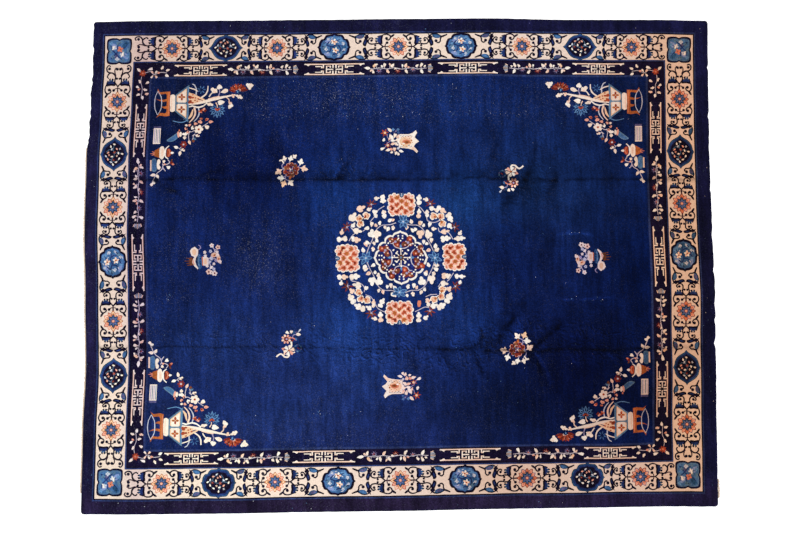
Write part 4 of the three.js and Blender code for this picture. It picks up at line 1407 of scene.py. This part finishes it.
# more points for the folds and creases
def netPoints():
    net = []
    inset, shake = 20, 8
    reachX, reachY = rug["length"] / 2 - inset, rug["width"] / 2 - inset
    for x in np.arange(-reachX, reachX, rug["netStep"]):
        for y in np.arange(-reachY, reachY, rug["netStep"]):
            net.append(Vector((x + dice.uniform(-shake, shake), y + dice.uniform(-shake, shake))))
    for row, reach, _, _ in creaseRows():
        for a, b in zip(row, row[1:]):
            across = 1j * (b - a) / abs(b - a)
            net += [flat(a + across * reach * share) for share in (-2, -1, 0, 1, 2)]
    return net


# the top of the pile as one map of flat shapes: first all of them, then only the edges that show
def pileMap(shapes):
    rim = rimLoop(rug["rimSlope"], rug["rimStep"])
    points, faces = loopFaces([rim] + [evenLoop(loop, rug["longEdge"]) for _, loop in shapes])
    spots, _, triangles, firsts, _, owners = delaunay_2d_cdt(points, [], faces, 0, rug["weld"], True)
    top = [max(o) if o else -1 for o in owners]
    names = ["edgeNavy"] + [dye for dye, _ in shapes] + ["none"]
    beside = {}
    for t, owner in zip(triangles, top):
        for a, b in zip(t, t[1:] + t[:1]):
            beside.setdefault((min(a, b), max(a, b)), []).append(names[owner])
    seen = [edge for edge, sides in beside.items() if len(sides) == 1 or sides[0] != sides[1]]
    kept = sorted({i for edge in seen for i in edge})
    index = {old: new for new, old in enumerate(kept)}
    layout = [spots[i] for i in kept] + netPoints()
    edges = [(index[a], index[b]) for a, b in seen]
    netSpots, _, netTriangles, netFirsts, _, _ = delaunay_2d_cdt(layout, edges, [], 0, rug["weld"], True)
    # each new triangle takes the dye of the shape under its middle
    below = BVHTree.FromPolygons([(p.x, p.y, 0) for p in spots], triangles)
    inside = []
    for t in netTriangles:
        middle = sum((netSpots[i] for i in t), Vector((0, 0))) / 3
        hit = below.ray_cast((middle.x, middle.y, 1), (0, 0, -1))[2]
        if hit is not None and top[hit] >= 0:
            inside.append((t, top[hit]))
    old = {source: i for i, sources in enumerate(firsts) for source in sources if source < len(rim)}
    new = {source: i for i, sources in enumerate(netFirsts) for source in sources}
    print("pattern:", len(shapes), "shapes,", len(triangles), "triangles, then", len(inside))
    x = np.array([p.x for p in netSpots])
    y = np.array([p.y for p in netSpots])
    return x, y, inside, [new[index[old[i]]] for i in range(len(rim))]


# a soft patch about a place
def bell(x, y, middleX, middleY, reachX, reachY):
    return np.exp(-((x - middleX) / reachX) ** 2 - ((y - middleY) / reachY) ** 2)


# the knots never follow the cartoon quite straight
def drift(x, y, seed):
    off = []
    for a, b in zip(x, y):
        wander = 2.6 * noise.noise((a / 260, b / 260, seed))
        off.append(wander + 1.1 * noise.noise((a / 9, b / 9, seed + 2)))
    return np.array(off)


# what the fades (partly painted sheen and light) and the painted shade and highlight along the creases do
# to the dyes, at every point
def tones(x, y):
    broken = []
    for a, b in zip(x, y):
        coarse = 0.9 * noise.noise((a / 55, b / 30, 1))
        broken.append(0.75 + coarse + 0.5 * noise.noise((a / 16, b / 16, 8)))
    creaseShading = np.ones(len(x))
    # painted shade and painted highlight along each crease, broken into stretches
    for row, reach, _, shade in creaseRows():
        creaseShading *= 1 + shade * nearness(x, y, row, reach) * np.clip(broken, 0, 1)
    tone = {}
    for name, patches in fadesAndPaintedLight.items():
        tone[name] = np.ones((len(x), 3)) * creaseShading[:, None]
        # each soft patch: partly the dyes' own fading, partly painted sheen and painted light and shade
        for *patch, much in patches:
            tone[name] *= 1 + bell(x, y, *patch)[:, None] * (np.array(much) - 1)
    return tone


# ring by ring from the shoulder of the pile down to the floor
def addRim(verts, polys, colour, ring, tint):
    for inset, height in ((4.5, 8.5), (1.8, 7.4), (0.2, 5.8), (0, 3), (0.8, 0)):
        loop = rimLoop(inset, rug["rimStep"])
        x, y = np.array([p.real for p in loop]), np.array([p.imag for p in loop])
        backX, backY = ragged(x, y)
        nextRing = list(range(len(verts), len(verts) + len(loop)))
        for p, a, b in zip(loop, *placeInOutline(x + backX, y + backY)):
            lump = 0.7 * noise.noise((p.real / 11, p.imag / 11, height)) if 0 < height < 8 else 0
            verts.append((a, b, height + lump))
        for k in range(len(loop)):
            j = (k + 1) % len(loop)
            polys.append([ring[k], nextRing[k], nextRing[j], ring[j]])
            colour += [(*tint, 1)] * 4
        ring = nextRing
    return ring


# underside: the plain bands, a little duller than the pile
def addUnderside(verts, polys, colour, ring, bands, tints):
    bottom = [Vector(verts[i][:2]) for i in ring]
    loops = [list(range(len(bottom)))]
    for _, loop in bands:
        loop = evenLoop(loop, 120)
        x, y = placeInOutline(np.array([p.real for p in loop]), np.array([p.imag for p in loop]))
        loops.append(list(range(len(bottom), len(bottom) + len(loop))))
        bottom += [Vector(p) for p in zip(x, y)]
    under, _, triangles, firsts, _, owners = delaunay_2d_cdt(bottom, [], loops, 0, 0.01, True)
    moved = []
    for spot, sources in zip(under, firsts):
        onRing = [ring[s] for s in sources if s < len(ring)]
        moved.append(onRing[0] if onRing else len(verts))
        if not onRing:
            verts.append((spot.x, spot.y, 0))
    for t, o in zip(triangles, owners):
        if o:
            polys.append([moved[i] for i in reversed(t)])
            colour += [(*(tints[max(o)] * 0.8), 1)] * 3


def buildRug():
    shapes = pattern()
    x, y, inside, rim = pileMap(shapes)
    names = ["edgeNavy"] + [dye for dye, _ in shapes]
    tints = [np.array(linear(dyes[name])) * (1 + dice.uniform(-0.06, 0.06)) for name in names]
    fromEdge = np.minimum(rug["length"] / 2 - np.abs(x), rug["width"] / 2 - np.abs(y))
    calm = np.clip((fromEdge - 8) / edgeWear["strip"], 0, 1)
    z = pileHeight(x, y)
    backX, backY = ragged(x, y)
    px, py = placeInOutline(x + drift(x, y, 3) * calm + backX, y + drift(x, y, 7) * calm + backY)

    tone = tones(x, y)
    groups = {"field": "field", "midnight": "field", "edgeNavy": "edge"}
    used = sorted({i for t, _ in inside for i in t})
    index = {old: new for new, old in enumerate(used)}
    verts = [(px[i], py[i], z[i]) for i in used]
    polys = [[index[i] for i in t] for t, _ in inside]
    colour = []
    for t, owner in inside:
        own = tone[groups.get(names[owner], "other")]
        colour += [(*(tints[owner] * own[i]), 1) for i in t]
    ring = addRim(verts, polys, colour, [index[i] for i in rim], tints[0] * np.array((1.3, 1.15, 1.0)))
    addUnderside(verts, polys, colour, ring, shapes[:8], tints)

    worn, wrinkleShadingMask = np.zeros(len(verts)), np.zeros(len(verts))
    for *patch, much in wear["rubbed"]:
        worn[:len(used)] += much * bell(x[used], y[used], *patch)
    # where the small wrinkles get painted shade and painted highlight
    for *patch, much in lie["wrinkleShadingPatches"]:
        wrinkleShadingMask[:len(used)] = np.maximum(wrinkleShadingMask[:len(used)], much * bell(x[used], y[used], *patch))
    return verts, polys, colour, {"worn": worn, "wrinkleShadingMask": wrinkleShadingMask}


# one node socket, so that sums of sockets make math nodes
class Wire:
    def __init__(self, tree, socket=None):
        self.tree, self.socket = tree, socket

    # adds a node: its settings first, then values or wires for its sockets
    def add(self, kind, settings=None, inputs=None, out=0):
        node = self.tree.nodes.new(kind)
        for name, value in (settings or {}).items():
            setattr(node, name, value)
        for name, value in (inputs or {}).items():
            if isinstance(value, Wire):
                self.tree.links.new(value.socket, node.inputs[name])
            else:
                node.inputs[name].default_value = value
        return Wire(self.tree, node.outputs[out]) if len(node.outputs) else Wire(self.tree)

    def math(self, kind, *values):
        return self.add("ShaderNodeMath", {"operation": kind}, dict(enumerate(values)))

    def vector(self, kind, amount):
        return self.add("ShaderNodeVectorMath", {"operation": kind}, {0: self, 1: amount})

    # from a range to a range, held at its ends
    def ranged(self, low, high, start=0.0, end=1.0):
        values = {"Value": self, "From Min": low, "From Max": high, "To Min": start, "To Max": end}
        return self.add("ShaderNodeMapRange", {"interpolation_type": "SMOOTHSTEP"}, values)

    def mix(self, factor, colourA, colourB, blend="MIX"):
        settings = {"data_type": "RGBA", "blend_type": blend}
        return self.add("ShaderNodeMix", settings, {0: factor, 6: colourA, 7: colourB}, 2)

    # the same value in all three colours
    def grey(self):
        return self.add("ShaderNodeCombineColor", None, {0: self, 1: self, 2: self})

    def noise(self, scale, detail=2.0, twist=0.0):
        values = {"Vector": self, "Scale": scale, "Detail": detail, "Distortion": twist}
        return self.add("ShaderNodeTexNoise", None, values)

    # noise of a scale and detail, the part of it that shows, and the tones that this gives
    def toned(self, scale, detail, low, high, start=0.0, end=1.0):
        return self.noise(scale, detail).ranged(low, high, start, end)

    def __add__(self, other):
        return self.math("ADD", self, other)

    def __radd__(self, other):
        return self.math("ADD", other, self)

    def __sub__(self, other):
        return self.math("SUBTRACT", self, other)

    def __rsub__(self, other):
        return self.math("SUBTRACT", other, self)

    def __mul__(self, other):
        return self.math("MULTIPLY", self, other)

    def __rmul__(self, other):
        return self.math("MULTIPLY", other, self)


# an empty material, and a wire at the object's own coordinates
def newMaterial(name):
    material = bpy.data.materials.new(name)
    material.use_nodes = True
    material.node_tree.nodes.clear()
    return material, Wire(material.node_tree).add("ShaderNodeTexCoord", None, None, "Object")


# the shader at the end of a material, and its bump if it has one
def finishMaterial(spot, values, bump=None):
    if bump:
        values = values | {"Normal": spot.add("ShaderNodeBump", None, bump)}
    shader = spot.add("ShaderNodeBsdfPrincipled", None, values)
    spot.add("ShaderNodeOutputMaterial", None, {"Surface": shader})


# each kind of unevenness in the wool, and the painted shade and highlight of its small wrinkles: noise
# scale and detail, the part that shows, and its tones
wool = {
    "streaks": (52, 4, 0.25, 0.75, 0.72, 1.22), "bands": (13, 2, 0.3, 0.7, 0.78, 1.16),
    "cloud": (9, 5, 0.3, 0.7, 0.8, 1.16), "mottle": (170, 2, 0.25, 0.75, 0.6, 1.35),
    "worn": (7, 3, 0.35, 0.65, 0.3, 1.3), "tips": (190, 3, 0.56, 0.78),
    "tipColour": (0.28, 0.30, 0.40, 1), "wrinkleShading": (13, 3, 1.4), "wrinkleWidth": 0.06,
    "wrinkleShade": 0.75, "litSide": (0.006, 0.008, 0), "knots": 330.0, "knotDepth": 0.002,
    "knotStrength": 0.35,
}


def woolMaterial():
    material, spot = newMaterial("wool_pile")
    dye = spot.add("ShaderNodeAttribute", {"attribute_name": "dye"}, None, "Color")
    worn, wrinkleShadingMask = (spot.add("ShaderNodeAttribute", {"attribute_name": name}, None, "Fac")
                      for name in ("worn", "wrinkleShadingMask"))
    dark = 1 - spot.add("ShaderNodeRGBToBW", None, {"Color": dye}).ranged(0.05, 0.35)
    # abrash: streaks of the dye lots along the weft, and a mottle of single knots
    streaks = spot.vector("MULTIPLY", (1, 0.14, 1)).toned(*wool["streaks"])
    bands = spot.vector("MULTIPLY", (1, 0.2, 1)).toned(*wool["bands"])
    cloud, mottle = spot.toned(*wool["cloud"]), spot.toned(*wool["mottle"])
    # small wrinkles painted into the colour: thin lines of painted shade that wander, each with a painted
    # highlight on its lit side
    offs = [at.noise(*wool["wrinkleShading"]) - 0.5 for at in (spot, spot.vector("ADD", wool["litSide"]))]
    shadedLines, highlitLines = (off.math("ABSOLUTE", off).ranged(0.0, wool["wrinkleWidth"], 1.0, 0.0)
                       for off in offs)
    wrinkleShading = 1 + wrinkleShadingMask * (highlitLines - shadedLines) * wool["wrinkleShade"]
    shade = streaks * bands * cloud * mottle * wrinkleShading
    factor = 1 + dark * (shade - 1) + (1 - dark) * (mottle - 1) * 0.3
    colour = spot.mix(1.0, dye, factor.grey(), "MULTIPLY")
    # worn tips of the pile show grey among the dark wools, most of all to the left
    side = spot.add("ShaderNodeSeparateXYZ", None, {0: spot}, 0).ranged(-0.6, 1.3, 1.1, 0.3)
    bare = side * spot.toned(*wool["worn"]) * 0.2 + worn * 0.75
    colour = spot.mix(dark * bare * spot.toned(*wool["tips"]), colour, wool["tipColour"])
    knots = spot.add("ShaderNodeTexVoronoi", None, {"Vector": spot, "Scale": wool["knots"]})
    finishMaterial(spot, {"Base Color": colour, "Roughness": 1.0, "Specular IOR Level": 0.06},
                   {"Strength": wool["knotStrength"], "Distance": wool["knotDepth"], "Height": knots})
    return material


def addMesh(name, verts, polys, material, smooth=True):
    mesh = bpy.data.meshes.new(name)
    mesh.from_pydata([tuple(float(c) * mm for c in v) for v in verts], [], polys)
    mesh.polygons.foreach_set("use_smooth", [smooth] * len(polys))
    mesh.materials.append(material)
    piece = bpy.data.objects.new(name, mesh)
    bpy.context.scene.collection.objects.link(piece)
    return piece


# the pile, as one piece, moved to where the part's own rug lies
verts, polys, colour, marks = buildRug()
outline = np.array(rimLoop(0, 20))
edge = np.array(placeInOutline(outline.real, outline.imag))
cadLow, cadHigh = (np.array(p)[:2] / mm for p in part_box("rug"))
shift = (cadLow + cadHigh - edge.min(axis=1) - edge.max(axis=1)) / 2
print("moved to the middle of the part by", shift)


def shifted(points):
    return [(x + shift[0], y + shift[1], z) for x, y, z in points]


pile = addMesh("wool_rug", shifted(verts), polys, woolMaterial())
layer = pile.data.color_attributes.new("dye", "FLOAT_COLOR", "CORNER")
layer.data.foreach_set("color", np.array(colour, dtype=np.float32).ravel())
for name, values in marks.items():
    mark = pile.data.attributes.new(name, "FLOAT", "POINT")
    mark.data.foreach_set("value", values.astype(np.float32))
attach(pile, "root")
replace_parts(pile, "rug")
print("pile:", len(polys), "faces")

# cotton left at the two ends: where it runs, and how far it reaches beyond the web
cotton = {
    "left": ((-1262, 4), (-1150, 7), (-700, 8), (-520, 6), (-150, 9), (180, 8), (420, 4), (648, 3)),
    "right": ((-1330, 6), (-1290, 11), (-1225, 7)),
    "web": 6.5, "webStep": 5, "gap": 2.6, "pitch": 3.0, "thick": 1.8, "lean": 3, "yarn": (1.05, 1.0, 0.6),
    "clean": (0.82, 0.67, 0.53, 1), "soiled": (0.62, 0.48, 0.37, 1),
}


def cottonMaterial():
    material, spot = newMaterial("cotton_fringe")
    colour = spot.mix(spot.toned(24, 3, 0.35, 0.7), cotton["clean"], cotton["soiled"])
    finishMaterial(spot, {"Base Color": colour, "Roughness": 0.95, "Specular IOR Level": 0.1},
                   {"Strength": 0.3, "Distance": 0.001, "Height": spot.noise(700, 1)})
    return material


def cottonEnd(name, side, rows):
    low, high = rows[0][0], rows[-1][0]
    at, reaches = zip(*rows)
    walls = placeInOutline(np.full(400, side * rug["length"] / 2), np.linspace(-1370, 1370, 400))
    verts, polys = [], []
    sides = 5  # corners of the web's section and of a yarn's

    def wall(y):
        return float(np.interp(y, walls[1], walls[0])) + side * cotton["gap"]

    # walls between two rings of points
    def join(a, b, flip):
        for k in range(sides):
            i = (k + 1) % sides
            quad = [a + k, a + i, b + i, b + k]
            polys.append(quad[::-1] if flip else quad)

    def cap(first, flip):
        ring = list(range(first, first + sides))
        polys.append(ring[::-1] if flip else ring)

    # web
    count = round((high - low) / cotton["webStep"])
    for k in range(count + 1):
        y = low + (high - low) * k / count
        out = cotton["web"] + 1.2 * noise.noise((y / 14, 1, side))
        top = cotton["thick"] * (0.85 + 0.15 * math.sin(k * 2.1))
        for dx, z in ((0, 0), (0, top), (out * 0.6, top), (out, 0.5 * top), (out, 0)):
            verts.append((wall(y) + side * dx, y, z))
        if k:
            join(sides * (k - 1), sides * k, side > 0)
    cap(0, side < 0)
    cap(sides * count, side > 0)
    # single warp ends, each a thin tapered yarn
    y = low + 3
    while y < high - 3:
        reach = float(np.interp(y, at, reaches)) * dice.uniform(0.45, 1.25)
        lean = dice.uniform(-cotton["lean"], cotton["lean"])
        path = ((0, 0, 0.9), (reach * 0.5, lean * 0.4, 0.9), (reach, lean, 0.7))
        first = len(verts)
        for (dx, dy, z), r in zip(path, cotton["yarn"]):
            for k in range(sides):
                a = 2 * math.pi * k / sides
                verts.append((wall(y) + side * (cotton["web"] - 1 + dx), y + dy + r * math.cos(a),
                              max(z + r * math.sin(a), 0)))
        for n in range(2):
            join(first + sides * n, first + sides * (n + 1), side < 0)
        cap(first + 2 * sides, side < 0)
        y += cotton["pitch"] * dice.uniform(0.7, 1.3)
    piece = addMesh(name, shifted(verts), polys, cottonMaterial())
    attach(piece, "root")
    return piece


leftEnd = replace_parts(cottonEnd("cotton_end_left", -1, cotton["left"]), "fringe_left")
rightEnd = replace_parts(cottonEnd("cotton_end_right", 1, cotton["right"]), "fringe_right")
print("cotton ends built")

# floor, light and camera; the camera's turns and place are the photograph's
studio = {
    "floor": 20000, "floorDrop": 0.0005, "glow": 0.7, "sky": 0.8, "sun": 0.9, "sunAngle": 20,
    "sunTilt": (52, 0, -20), "angle": 40, "far": 100,
    "turns": (("Z", 0.36711), ("Y", 1.44204), ("X", -4.37783)), "eye": (-10.61, -30.956, 6143.87),
}


def floorMaterial():
    material, spot = newMaterial("studio_floor")
    grain = spot.toned(3, 2, 0.3, 0.7, 0.97, 1.0)
    finishMaterial(spot, {"Base Color": grain.grey(), "Roughness": 1.0, "Specular IOR Level": 0.0,
                          "Emission Color": (1, 1, 1, 1), "Emission Strength": studio["glow"]})
    return material


def addFloor():
    wide = studio["floor"]
    corners = [(x * wide, y * wide, 0) for x, y in ((-1, -1), (1, -1), (1, 1), (-1, 1))]
    floor = addMesh("floor", corners, [[0, 1, 2, 3]], floorMaterial(), False)
    floor.location.z = -studio["floorDrop"]


def addLight():
    world = bpy.data.worlds.new("studio")
    world.use_nodes = True
    sky = world.node_tree.nodes["Background"]
    sky.inputs["Color"].default_value = (1, 1, 1, 1)
    sky.inputs["Strength"].default_value = studio["sky"]
    bpy.context.scene.world = world
    lamp = bpy.data.lights.new("key", "SUN")
    lamp.energy = studio["sun"]
    lamp.angle = math.radians(studio["sunAngle"])
    key = bpy.data.objects.new("key", lamp)
    key.rotation_euler = [math.radians(a) for a in studio["sunTilt"]]
    bpy.context.scene.collection.objects.link(key)


def addCamera():
    lens = bpy.data.cameras.new("camera")
    lens.sensor_fit = "HORIZONTAL"
    lens.angle = math.radians(studio["angle"])
    lens.clip_end = studio["far"]
    camera = bpy.data.objects.new("camera", lens)
    spin = Matrix.Identity(3)
    for axis, turn in studio["turns"]:
        spin = spin @ Matrix.Rotation(math.radians(turn), 3, axis)
    back = spin.transposed()
    place = back @ Vector(studio["eye"]) + Vector((shift[0], shift[1], rug["pileTop"]))
    camera.matrix_world = Matrix.Translation(place * mm) @ back.to_4x4()
    bpy.context.scene.collection.objects.link(camera)
    bpy.context.scene.camera = camera


addFloor()
addLight()
addCamera()
bpy.context.scene.view_settings.view_transform = "Standard"
print("floor, light and camera placed")
